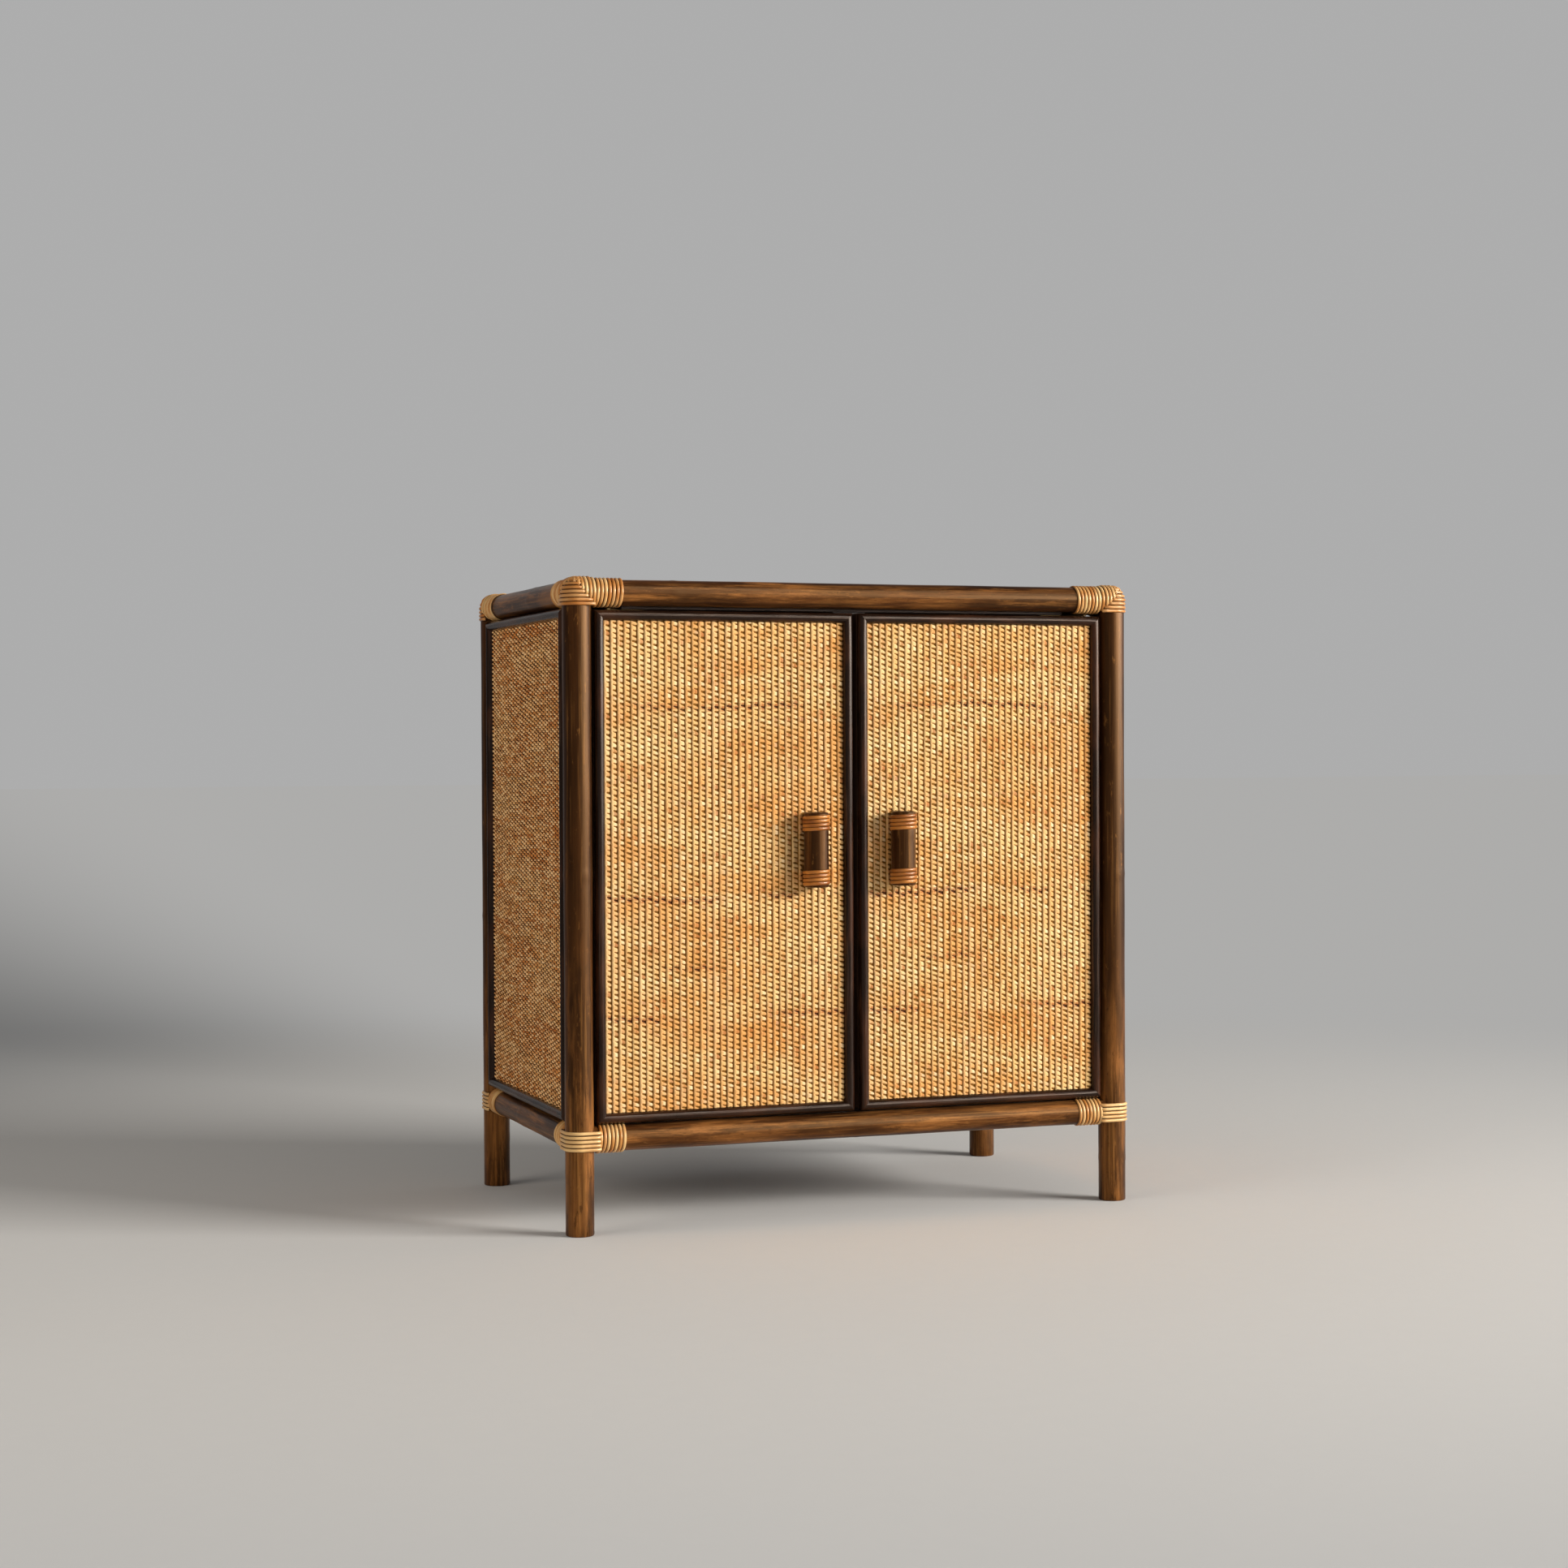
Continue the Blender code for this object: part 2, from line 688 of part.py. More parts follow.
def add_shelf():
    """A shelf notched round the rear posts, on a batten at each side."""
    front = shelf_front_setback - inner_half_y
    rear = back_board_inner - shelf_back_clearance
    half_x = side_board_inner - shelf_side_clearance
    notch_x = post_x - post_radius - shelf_post_clearance
    notch_y = post_y - post_radius - shelf_post_clearance
    outline = [(-half_x, front), (half_x, front), (half_x, notch_y), (notch_x, notch_y)]
    outline += [(notch_x, rear), (-notch_x, rear), (-notch_x, notch_y), (-half_x, notch_y)]
    bottom = shelf_height - shelf_thickness
    shelf = add_object("shelf", prism(outline, shelf_thickness), "stained_board", (0, 0, bottom))
    bevel = shelf.modifiers.new("Eased edges", "BEVEL")
    bevel.width = board_edge
    bevel.segments = 1
    batten_top = bottom - fit_gap
    for name, side in (("left", -1), ("right", 1)):
        outer = side_board_inner - fit_gap
        spans = sorted((side * outer, side * (outer - shelf_batten_width)))
        low = (spans[0], front + shelf_batten_setback, batten_top - shelf_batten_height)
        high = (spans[1], notch_y - shelf_batten_setback, batten_top)
        add_board(f"shelf_batten_{name}", low, high, "stained_board")


def plate_outline(side):
    """The pivot plate seen from above, about the pin: a round tip, a slanting arm and a body."""
    half = plate_arm_width / 2
    slant = half * math.sqrt(1 / 2)
    body_front = plate_edge_inset - inner_half_y - pivot_y
    body_back = body_front + plate_body_width
    near = -plate_body_distance
    far = near - plate_body_length
    outline = [(far, body_front), (-body_front - 2 * slant, body_front)]
    for step in range(tip_steps + 1):
        angle = math.radians(225 + 180 * step / tip_steps)
        outline.append((half * math.cos(angle), half * math.sin(angle)))
    outline += [(near, 2 * slant - near), (near, body_back), (far, body_back)]
    if side < 0:
        outline = [(-x, y) for x, y in reversed(outline)]
    return outline


def add_pivot(door_name, end, side):
    """A plate with its pin and two screw heads, fixed to the cabinet."""
    upward = 1 if end == "lower" else -1
    face = floor_top + fit_gap if end == "lower" else top_batten_bottom - fit_gap - plate_thickness
    shape = prism(plate_outline(side), plate_thickness)
    plate = add_object(f"pivot_{door_name}_{end}", shape, "brass", (side * pivot_x, pivot_y, face))
    plate_face = face + plate_thickness if upward > 0 else face
    sunk = plate_thickness / 2
    middle = plate_face + upward * (pin_length - sunk) / 2
    pin = rod(pin_diameter / 2, pin_length + sunk, round_sides)
    fittings = [(pin, (side * pivot_x, pivot_y, middle), (0, 0, 0))]
    screw_y = plate_edge_inset - inner_half_y + plate_body_width / 2
    middle = plate_face + upward * (screw_head_height - sunk) / 2
    for share in screw_places_share:
        screw_x = side * (pivot_x - plate_body_distance - plate_body_length * share)
        head = rod(screw_head_diameter / 2, screw_head_height + sunk, round_sides)
        fittings.append((head, (screw_x, screw_y, middle), (0, 0, 0)))
    combine(plate, add_cutter_set(f"fittings_{door_name}_{end}", fittings), "UNION")


def add_bush(door_name, side, parent):
    """A bush flush with the door's lower edge; gives the bore that holds it."""
    bore = pin_diameter / 2 + pin_clearance
    half = bush_length / 2
    middle = door_board_bottom + half
    profile = [(bore, -half), (bush_diameter / 2, -half), (bush_diameter / 2, half), (bore, half)]
    vertices = []
    for radius, height in profile:
        for index in range(round_sides):
            angle = 2 * math.pi * index / round_sides
            vertices.append((radius * math.cos(angle), radius * math.sin(angle), height))
    faces = []
    for row in range(4):
        for index in range(round_sides):
            after = (index + 1) % round_sides
            here = row * round_sides
            there = (row + 1) % 4 * round_sides
            faces.append((here + index, here + after, there + after, there + index))
    place = (side * pivot_x, pivot_y, middle)
    add_object(f"bush_{door_name}", solid(vertices, faces), "steel", place, parent=parent, smooth=True)
    depth = bush_length + fit_gap + cut_overrun
    place = (side * pivot_x, pivot_y, middle + (fit_gap - cut_overrun) / 2)
    return rod(bush_diameter / 2 + fit_gap, depth, round_sides), place, (0, 0, 0)


def upper_bore(side):
    """The bore in the door's upper edge in which the upper pin turns."""
    depth = bush_length + cut_overrun
    place = (side * pivot_x, pivot_y, door_top + (cut_overrun - bush_length) / 2)
    return rod(pin_diameter / 2 + pin_clearance, depth, round_sides), place, (0, 0, 0)


def wrap_path(low):
    """Four turns round the grip; both ends turn back and run straight into the door."""
    seat = grip_radius + strand_seat
    tip = seat + wrap_end_bend + strand_end_length
    end = [(-wrap_end_offset, tip)]
    end_normals = [(1, 0, 0)]
    for angle in (90, 45, 0):
        sine = math.sin(math.radians(angle))
        cosine = math.cos(math.radians(angle))
        end.append((wrap_end_bend * (1 - sine) - wrap_end_offset, seat + wrap_end_bend * (1 - cosine)))
        end_normals.append((sine, cosine, 0))
    path = [(x, y, low) for x, y in end]
    normals = list(end_normals)
    high = low + wrap_turns * strand_pitch
    step = 360 / wrap_points
    corner = seat / math.cos(math.radians(step / 2))
    count = wrap_turns * wrap_points
    for index in range(count):
        angle = math.radians(90 - step / 2 - step * index)
        height = low + (high - low) * (index + 1 / 2) / count
        path.append((corner * math.cos(angle), corner * math.sin(angle), height))
        normals.append((math.cos(angle), math.sin(angle), 0))
    path += [(-x, y, high) for x, y in reversed(end)]
    normals += [(-x, y, z) for x, y, z in reversed(end_normals)]
    return path, normals


def add_handle(door_name, side, parent):
    """A bound grip; gives the windows in the woven sheet behind it and the holes for its cane's ends."""
    place = Vector((side * grip_middle_distance, grip_y, grip_height))
    shape = pole(grip_radius, grip_length, grip_chamfer)
    add_object(f"grip_{door_name}", shape, "stained_rattan", place, parent=parent, smooth=True)
    run = wrap_turns * strand_pitch
    window_height = run + strand_width + 2 * wrap_window_clearance
    windows = []
    holes = []
    tip = grip_radius + strand_seat + wrap_end_bend + strand_end_length + strand_hole_spare
    for end in ("lower", "upper"):
        inset = wrap_end_inset + strand_width / 2
        low = inset - grip_length / 2 if end == "lower" else grip_length / 2 - inset - run
        path, normals = wrap_path(low)
        placed = [tuple(place + Vector(point)) for point in path]
        add_strand(f"grip_wrap_{door_name}_{end}", placed, normals, parent)
        middle = place + Vector((0, door_trim_base - grip_y, low + run / 2))
        windows.append((block(wrap_window_width, 2 * cut_overrun, window_height), middle, (0, 0, 0)))
        for height, sign in ((low, -1), (low + run, 1)):
            offset = sign * (wrap_end_offset - strand_hole_offset)
            depth = tip + grip_y - door_board_front + cut_overrun
            middle = place + Vector((offset, tip - depth / 2, height))
            holes.append((rod(strand_hole_radius, depth, round_sides), middle, (90, 0, 0)))
    return windows, holes


def add_door(name, side):
    """Board, woven sheet, moulding, bushes, handle and strike, all under the pivot."""
    pivot = bpy.data.objects.new(f"door_{name}_pivot", None)
    bpy.context.collection.objects.link(pivot)
    pivot.location = (side * pivot_x, pivot_y, door_middle_z)
    spans = sorted((side * door_inner, side * door_outer))
    low = (spans[0], door_board_front, door_board_bottom)
    high = (spans[1], door_board_back, door_top)
    board = add_board(f"door_board_{name}", low, high, "stained_board", pivot)
    hidden = trim_width + fit_gap
    low = (spans[0] + hidden, door_weave_front, door_bottom + hidden)
    high = (spans[1] - hidden, door_trim_base, door_top - hidden)
    weave = add_board(f"door_weave_{name}", low, high, "woven_cane", pivot, edge=0)
    place = (side * door_middle_x, door_trim_base, door_middle_z)
    half_x = (door_outer - door_inner) / 2
    half_z = (door_top - door_bottom) / 2
    add_moulding(f"door_trim_{name}", half_x, half_z, trim_height, place, (90, 0, 0), pivot)
    windows, holes = add_handle(name, side, pivot)
    combine(weave, add_cutter_set(f"windows_{name}", windows, pivot))
    bores = [add_bush(name, side, pivot), upper_bore(side)]
    combine(board, add_cutter_set(f"holes_{name}", holes + bores, pivot))
    add_pivot(name, "lower", side)
    add_pivot(name, "upper", side)
    inner = door_inner + strike_edge_distance
    spans = sorted((side * inner, side * (inner + strike_width)))
    top = door_top - strike_top_inset
    low = (spans[0], door_board_back + fit_gap, top - strike_height)
    high = (spans[1], door_board_back + fit_gap + strike_thickness, top)
    add_board(f"strike_{name}", low, high, "steel", pivot, edge=0)


def add_catch():
    front = door_board_back + 2 * fit_gap + strike_thickness
    top = top_batten_bottom - fit_gap
    low = (-catch_width / 2, front, top - catch_height)
    high = (catch_width / 2, front + catch_depth, top)
    add_board("door_catch", low, high, "dark_moulding")


corners = (
    ("front_left", -1, -1),
    ("front_right", 1, -1),
    ("rear_left", -1, 1),
    ("rear_right", 1, 1),
)

clear_scene()
add_frame()
add_side_panels()
add_back()
add_top()
add_floor_and_battens()
add_shelf()
add_door("left", -1)
add_door("right", 1)
add_catch()
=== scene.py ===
import math

import bpy
import numpy as np
from mathutils import Matrix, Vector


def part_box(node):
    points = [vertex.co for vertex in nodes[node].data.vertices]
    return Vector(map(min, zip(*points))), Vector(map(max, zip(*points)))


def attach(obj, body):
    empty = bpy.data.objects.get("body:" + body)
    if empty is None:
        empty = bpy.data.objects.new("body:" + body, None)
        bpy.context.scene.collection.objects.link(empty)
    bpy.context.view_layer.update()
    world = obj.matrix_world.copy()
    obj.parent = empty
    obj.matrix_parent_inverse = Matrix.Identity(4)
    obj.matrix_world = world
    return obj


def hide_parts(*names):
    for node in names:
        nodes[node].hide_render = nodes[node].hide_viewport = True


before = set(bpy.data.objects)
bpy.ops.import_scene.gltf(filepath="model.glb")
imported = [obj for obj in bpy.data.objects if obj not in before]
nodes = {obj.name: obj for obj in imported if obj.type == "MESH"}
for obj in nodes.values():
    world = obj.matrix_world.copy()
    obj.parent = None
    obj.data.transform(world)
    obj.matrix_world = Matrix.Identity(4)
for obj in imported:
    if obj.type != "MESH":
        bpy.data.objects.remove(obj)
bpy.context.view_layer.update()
chance = np.random.default_rng(7)
print("frame loaded")


class Term:
    # one shader socket, so that maths on it reads as plain arithmetic
    def __init__(self, paint, socket):
        self.paint = paint
        self.socket = socket

    def maths(self, operation, first, second=0.0):
        return self.paint.node("ShaderNodeMath", {"operation": operation}, {0: first, 1: second})

    def __add__(self, other):
        return self.maths("ADD", self, other)

    def __radd__(self, other):
        return self.maths("ADD", other, self)

    def __sub__(self, other):
        return self.maths("SUBTRACT", self, other)

    def __mul__(self, other):
        return self.maths("MULTIPLY", self, other)

    def __rmul__(self, other):
        return self.maths("MULTIPLY", other, self)

    def __truediv__(self, other):
        return self.maths("DIVIDE", self, other)

    def floor(self):
        return self.maths("FLOOR", self)

    def most(self, other):
        return self.maths("MAXIMUM", self, other)

    def rise(self, low, high):
        # 0 up to low, 1 from high on, an S-shaped rise between; with low above high it falls instead
        inputs = {"Value": self, "From Min": low, "From Max": high}
        return self.paint.node("ShaderNodeMapRange", {"interpolation_type": "SMOOTHSTEP"}, inputs)


class Paint:
    # one material, or the world, while it is put together
    def __init__(self, name, store=bpy.data.materials):
        self.block = store.new(name)
        self.block.use_nodes = True
        self.tree = self.block.node_tree
        self.tree.nodes.clear()

    def node(self, kind, settings=None, inputs=None, output=0):
        made = self.tree.nodes.new(kind)
        for key, value in (settings or {}).items():
            setattr(made, key, value)
        for key, value in (inputs or {}).items():
            if isinstance(value, Term):
                self.tree.links.new(value.socket, made.inputs[key])
            else:
                made.inputs[key].default_value = value
        return Term(self, made.outputs[output]) if made.outputs else None

    def place(self):
        # object coordinates, in metres
        return self.node("ShaderNodeTexCoord", output=3)

    def attribute(self, name):
        return self.node("ShaderNodeAttribute", {"attribute_name": name}, output=1)

    def stretch(self, vector, scale):
        return self.node("ShaderNodeVectorMath", {"operation": "MULTIPLY"}, {0: vector, 1: scale})

    def part(self, vector, axis):
        return self.node("ShaderNodeSeparateXYZ", inputs={0: vector}, output=axis)

    def join(self, x, y, z):
        return self.node("ShaderNodeCombineXYZ", inputs={0: x, 1: y, 2: z})

    def noise(self, vector, scale=1.0, detail=2.0, roughness=0.5):
        inputs = {"Vector": vector, "Scale": scale, "Detail": detail, "Roughness": roughness}
        return self.node("ShaderNodeTexNoise", inputs=inputs)

    def lot(self, value):
        # an unrelated value from 0 to 1 for each whole number
        return self.node("ShaderNodeTexWhiteNoise", {"noise_dimensions": "1D"}, {"W": value})

    def blend(self, share, first, second, kind="MIX"):
        # sockets 6 and 7 and output 2 are the node's colours
        settings = {"data_type": "RGBA", "blend_type": kind}
        return self.node("ShaderNodeMix", settings, {0: share, 6: opaque(first), 7: opaque(second)}, 2)

    def coats(self, colour, tones, *coats):
        # each coat is a share and the name of the tone that covers the colour by that share
        for share, tone in coats:
            colour = self.blend(share, colour, tones[tone])
        return colour

    def bump(self, height, distance, strength, normal=None):
        inputs = {"Strength": strength, "Distance": distance, "Height": height}
        if normal:
            inputs["Normal"] = normal
        return self.node("ShaderNodeBump", inputs=inputs)

    def finish(self, inputs):
        shader = self.node("ShaderNodeBsdfPrincipled", inputs=inputs)
        self.node("ShaderNodeOutputMaterial", inputs={"Surface": shader})
        return self.block

    def behind(self):
        # 1 where the background is seen, straight or in gloss or glass, and 0 where it gives light
        straight = self.node("ShaderNodeLightPath", output="Is Camera Ray")
        gloss = self.node("ShaderNodeLightPath", output="Is Glossy Ray")
        return straight.most(gloss).most(self.node("ShaderNodeLightPath", output="Is Transmission Ray"))


def opaque(colour):
    # a plain colour gets the alpha that colour sockets expect
    return colour if isinstance(colour, Term) else (*colour, 1)


def unit(vectors):
    return vectors / np.linalg.norm(vectors, axis=-1, keepdims=True)


def easy(values, low, high):
    # 0 below low, 1 above high, s s (3 - 2 s) between
    share = np.clip((values - low) / (high - low), 0, 1)
    return share * share * (3 - 2 * share)


class Shape:
    # gathers grids of points into one mesh, with an attribute that its paint reads: the grain, which is
    # fibre coordinates, or the weave's chart
    def __init__(self):
        self.points = []
        self.corners = []
        self.starts = [0]
        self.grain = []
        self.count = 0

    def face(self, table):
        # each row of the table is one polygon
        self.corners.append(table.ravel())
        last = self.starts[-1]
        steps = last + table.shape[1] * np.arange(1, len(table) + 1)
        self.starts.extend(steps.tolist())

    def add(self, grid, grain, around=True):
        # rows run along a closed piece and columns anticlockwise round it, with a cap at both ends;
        # a sheet that isn't closed gets one flat face behind it
        index = np.arange(grid.shape[0] * grid.shape[1]).reshape(grid.shape[:2]) + self.count
        walk = np.hstack([index, index[:, :1]]) if around else index
        quads = [walk[:-1, :-1], walk[:-1, 1:], walk[1:, 1:], walk[1:, :-1]]
        self.face(np.stack(quads, axis=-1).reshape(-1, 4))
        if around:
            self.face(index[:1, ::-1])
            self.face(index[-1:])
        else:
            rim = [index[0, :-1], index[:-1, -1], index[-1, :0:-1], index[:0:-1, 0]]
            self.face(np.concatenate(rim)[::-1][None])
        self.points.append(grid.reshape(-1, 3))
        self.grain.append(grain.reshape(-1, 3))
        self.count += grid.shape[0] * grid.shape[1]

    def build(self, name, material, body, stands, sharp=35, chart="grain"):
        mesh = bpy.data.meshes.new(name)
        points = np.concatenate(self.points)
        corners = np.concatenate(self.corners)
        mesh.vertices.add(len(points))
        mesh.vertices.foreach_set("co", points.ravel())
        mesh.loops.add(len(corners))
        mesh.loops.foreach_set("vertex_index", corners)
        mesh.polygons.add(len(self.starts) - 1)
        mesh.polygons.foreach_set("loop_start", self.starts[:-1])
        mesh.update(calc_edges=True)
        mesh.attributes.new(chart, "FLOAT_VECTOR", "POINT")
        mesh.attributes[chart].data.foreach_set("vector", np.concatenate(self.grain).ravel())
        mesh.shade_smooth()
        if sharp:
            mesh.set_sharp_from_angle(angle=math.radians(sharp))
        mesh.materials.append(material)
        piece = bpy.data.objects.new(name, mesh)
        bpy.context.collection.objects.link(piece)
        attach(piece, body)
        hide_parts(*stands)


def tube(path, outward, profile, scale=None):
    # point(s, t) = path(s) + scale(s, t) (across(t) side(s) + up(t) outward(s)), side = along x outward
    along = unit(np.gradient(path, axis=0))
    outward = unit(outward - along * np.sum(outward * along, axis=1, keepdims=True))
    side = np.cross(along, outward)
    scale = 1 if scale is None else scale[..., None]
    spread = side[:, None] * profile[None, :, :1] + outward[:, None] * profile[None, :, 1:]
    return path[:, None] + scale * spread


def lengthAlong(path):
    return np.append(0, np.cumsum(np.linalg.norm(np.diff(path, axis=0), axis=1)))


def grainOf(path, profile, seed):
    # fibre coordinates: across and up on the section, then the length travelled
    count = len(path)
    across = np.broadcast_to(profile[None, :, 0], (count, len(profile)))
    up = np.broadcast_to(profile[None, :, 1], (count, len(profile)))
    travelled = np.broadcast_to(lengthAlong(path)[:, None], (count, len(profile)))
    return np.stack([across + seed, up, travelled], axis=-1)


# Stained rattan poles
poles = {
    "postRadius": 0.0175,
    "railRadius": 0.0160,
    "gripRadius": 0.0155,
    "dome": 0.0140,
    "domeSteps": 12,
    "chamfer": 0.0015,
    "sides": 48,
    "step": 0.006,
    "swell": 0.00012,
    "oval": 0.004,
    "nodeRise": 0.00035,
    "nodeWidth": 0.0035,
    "postWarmth": 0.0,
    "railWarmth": 0.7,
    "dark": (0.020, 0.006, 0.002),
    "brown": (0.046, 0.015, 0.004),
    "red": (0.120, 0.038, 0.009),
    "golden": (0.380, 0.165, 0.042),
    "worn": (0.200, 0.076, 0.022),
    "amber": (0.460, 0.180, 0.045),
}


def polePaint(name, warmth):
    # warmth from 0 to 1: how much amber shows through the stain; low does the same near the floor
    paint = Paint(name)
    grain = paint.attribute("grain")
    fibres = paint.noise(paint.stretch(grain, (1100, 1100, 16)), detail=4, roughness=0.65)
    rub = paint.noise(paint.stretch(grain, (160, 160, 45)), detail=4, roughness=0.7)
    streaks = paint.noise(paint.stretch(grain, (300, 300, 6)), detail=3)
    bands = paint.noise(paint.stretch(grain, (110, 110, 3)), detail=2)
    clouds = paint.noise(paint.stretch(grain, (45, 45, 10)), detail=3)
    patches = paint.noise(paint.stretch(grain, (95, 95, 9)), detail=6, roughness=0.72)
    broad = paint.noise(paint.stretch(grain, (18, 18, 5)), detail=2)
    low = paint.part(paint.place(), 2).rise(0.40, 0.10) * 0.6
    warm = low.most(warmth)
    redBands = bands.rise(0.45 - 0.1 * warmth, 0.68 - 0.1 * warmth)
    colour = paint.coats(
        paint.blend(clouds.rise(0.42, 0.72), poles["dark"], poles["brown"]),
        poles,
        (redBands * (0.3 + 0.3 * warmth), "red"),
        (low * clouds.rise(0.35, 0.7) * 0.7, "worn"),
        (patches.rise(0.47, 0.36) * (0.35 + 0.4 * warm), "dark"),
        (warm * patches.rise(0.45, 0.70) * 0.95, "amber"),
        (broad.rise(0.50, 0.36) * 0.6, "dark"),
        (warm * broad.rise(0.52, 0.68) * 0.4, "amber"),
        (streaks.rise(0.54, 0.70) * (0.24 + 0.36 * low), "golden"),
        (rub.rise(0.60, 0.74) * 0.4, "golden"),
        (rub.rise(0.42, 0.32) * 0.6, "dark"),
        (fibres.rise(0.50, 0.30) * 0.75, "dark"),
    )
    inputs = {
        "Base Color": colour,
        "Roughness": 0.24 + 0.20 * fibres,
        "Specular IOR Level": 0.36,
        "Specular Tint": (1.0, 0.54, 0.22, 1),
        "Normal": paint.bump(streaks, 0.0004, 0.8, paint.bump(fibres, 0.00012, 0.8)),
    }
    return paint.finish(inputs)


postMaterial = polePaint("stainedPost", poles["postWarmth"])
railMaterial = polePaint("stainedRail", poles["railWarmth"])


def addPole(name, start, end, radius, body, material, ringShares=(), dome=0.0):
    # radius(s) = pole radius + swell wave(s) + a rise at each growth ring, on a straight axis, where
    # wave(s) = sin(21 s + a) + 0.6 sin(47 s + b) with s in metres;
    # both ends are chamfered, and a dome at the far end is a quarter of an ellipse
    chamfer = poles["chamfer"]
    start = np.array(start, float)
    end = np.array(end, float)
    length = np.linalg.norm(end - start)
    count = max(int(length / poles["step"]), 12)
    places = np.linspace(0, length, count)
    phase = chance.uniform(0, 6.28, 3)
    wave = np.sin(places * 21 + phase[0]) + np.sin(places * 47 + phase[1]) * 0.6
    reach = radius + poles["swell"] * wave
    for share in ringShares:
        reach = reach + poles["nodeRise"] * np.exp(-(((places - share * length) / poles["nodeWidth"]) ** 2))
    ends = [0, chamfer * 0.4, chamfer]
    cut = np.array([1, 0.32, 0]) * chamfer
    reach = np.concatenate([np.interp(ends, places, reach) - cut, reach[2:]])
    places = np.concatenate([ends, places[2:]])
    if dome:
        keep = places < length - dome
        turn = np.radians(np.linspace(0, 88, poles["domeSteps"]))
        places = np.concatenate([places[keep], length - dome * (1 - np.sin(turn))])
        reach = np.concatenate([reach[keep], radius * np.cos(turn)])
    else:
        reach[-1] -= chamfer
        places[-2] = length - chamfer
    path = start + (end - start) * (places / length)[:, None]
    direction = (end - start) / length
    outward = np.cross(direction, (0.0, 0.0, 1.0) if abs(direction[2]) < 0.5 else (1.0, 0.0, 0.0))
    turns = np.linspace(0, 2 * math.pi, poles["sides"], endpoint=False)
    profile = np.stack([-np.cos(turns), np.sin(turns)], axis=1)
    oval = 1 + poles["oval"] * np.cos(2 * turns + phase[2])
    shape = Shape()
    outward = np.broadcast_to(outward, path.shape)
    grid = tube(path, outward, profile, reach[:, None] * oval[None])
    shape.add(grid, grainOf(path, profile * radius, chance.uniform(0, 30)))
    shape.build(name + ".pole", material, body, [name])


postX = (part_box("post_front_right")[0].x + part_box("post_front_right")[1].x) / 2
postY = (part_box("post_rear_right")[0].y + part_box("post_rear_right")[1].y) / 2
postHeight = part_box("post_front_right")[1].z
railBox = {end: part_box(f"rail_{end}_front") for end in ("top", "bottom")}
railLevel = {end: (low.z + high.z) / 2 for end, (low, high) in railBox.items()}
cornerSigns = {"front_left": (-1, -1), "front_right": (1, -1), "rear_left": (-1, 1), "rear_right": (1, 1)}

for corner, (signX, signY) in cornerSigns.items():
    foot = (signX * postX, signY * postY, 0)
    head = (signX * postX, signY * postY, postHeight)
    shares = 0.09 + chance.uniform(-0.02, 0.02), 0.47 + chance.uniform(-0.1, 0.1)
    radius = poles["postRadius"]
    addPole(f"post_{corner}", foot, head, radius, "cabinet", postMaterial, shares, poles["dome"])
for end, level in railLevel.items():
    for name, sign in (("front", -1), ("rear", 1)):
        share = 0.3 + chance.uniform(-0.15, 0.4)
        ends = (-postX, sign * postY, level), (postX, sign * postY, level)
        addPole(f"rail_{end}_{name}", *ends, poles["railRadius"], "cabinet", railMaterial, [share])
    for name, sign in (("left", -1), ("right", 1)):
        share = 0.5 + chance.uniform(-0.2, 0.2)
        ends = (sign * postX, postY, level), (sign * postX, -postY, level)
        addPole(f"rail_{end}_{name}", *ends, poles["railRadius"], "cabinet", railMaterial, [share])
for door in ("left", "right"):
    low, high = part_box(f"grip_{door}")
    middle = (low + high) / 2
    ends = (middle.x, middle.y, low.z), (middle.x, middle.y, high.z)
    shares = [0.7] if door == "right" else []
    addPole(f"grip_{door}", *ends, poles["gripRadius"], f"door_{door}", postMaterial, shares)
print("poles built")


# Cane bindings at the corners
bindings = {
    "width": 0.0045,
    "thickness": 0.0021,
    "pitch": 0.00495,
    "railSeat": 0.0162,
    "bottomDrop": 0.0004,
    "rowSeat": 0.0177,
    "capSeat": 0.0178,
    "capRowSeat": 0.0179,
    "ringNear": 0.022875,
    "startTurn": -140,
    "turns": 7,
    "bandRows": 5,
    "bandOffset": -0.0009,
    "bandGap": 0.0010,
    "dive": 0.0026,
    "topSeed": 40,
    "bottomSeed": 80,
    "honey": (0.640, 0.280, 0.065),
    "pale": (0.860, 0.570, 0.250),
    "amber": (0.400, 0.125, 0.018),
    # painted shade for the strands' low edges, in the crevices between them
    "edge": (0.060, 0.018, 0.004),
}
# The seam on a top corner's front: place along the rail and height from its axis, in metres
arcSeam = ((0.0180, -0.0140), (0.0131, -0.0078), (0.0082, -0.0035), (0.0034, 0.0016),
           (-0.0010, 0.0082), (-0.0050, 0.0124))
# The rows round a top corner's post: height from the rail's axis and reach past the post, in metres
rowReach = ((-0.0143, 0.0185), (-0.0095, 0.0150), (-0.0046, 0.0108), (0.0003, 0.0066),
            (0.0052, 0.0034), (0.0099, 0.0030), (0.0138, 0.0040), (0.0164, 0.0040))


def strandProfile(width, thickness):
    # a flat strip with a rounded crown, anticlockwise about its length
    half = [(0.5, 0), (0.45, 0.44), (0.31, 0.82), (0.11, 1)]
    shares = [(-across, up) for across, up in half] + half[::-1] + [(0, -0.15)]
    return np.array(shares) * (width, thickness)


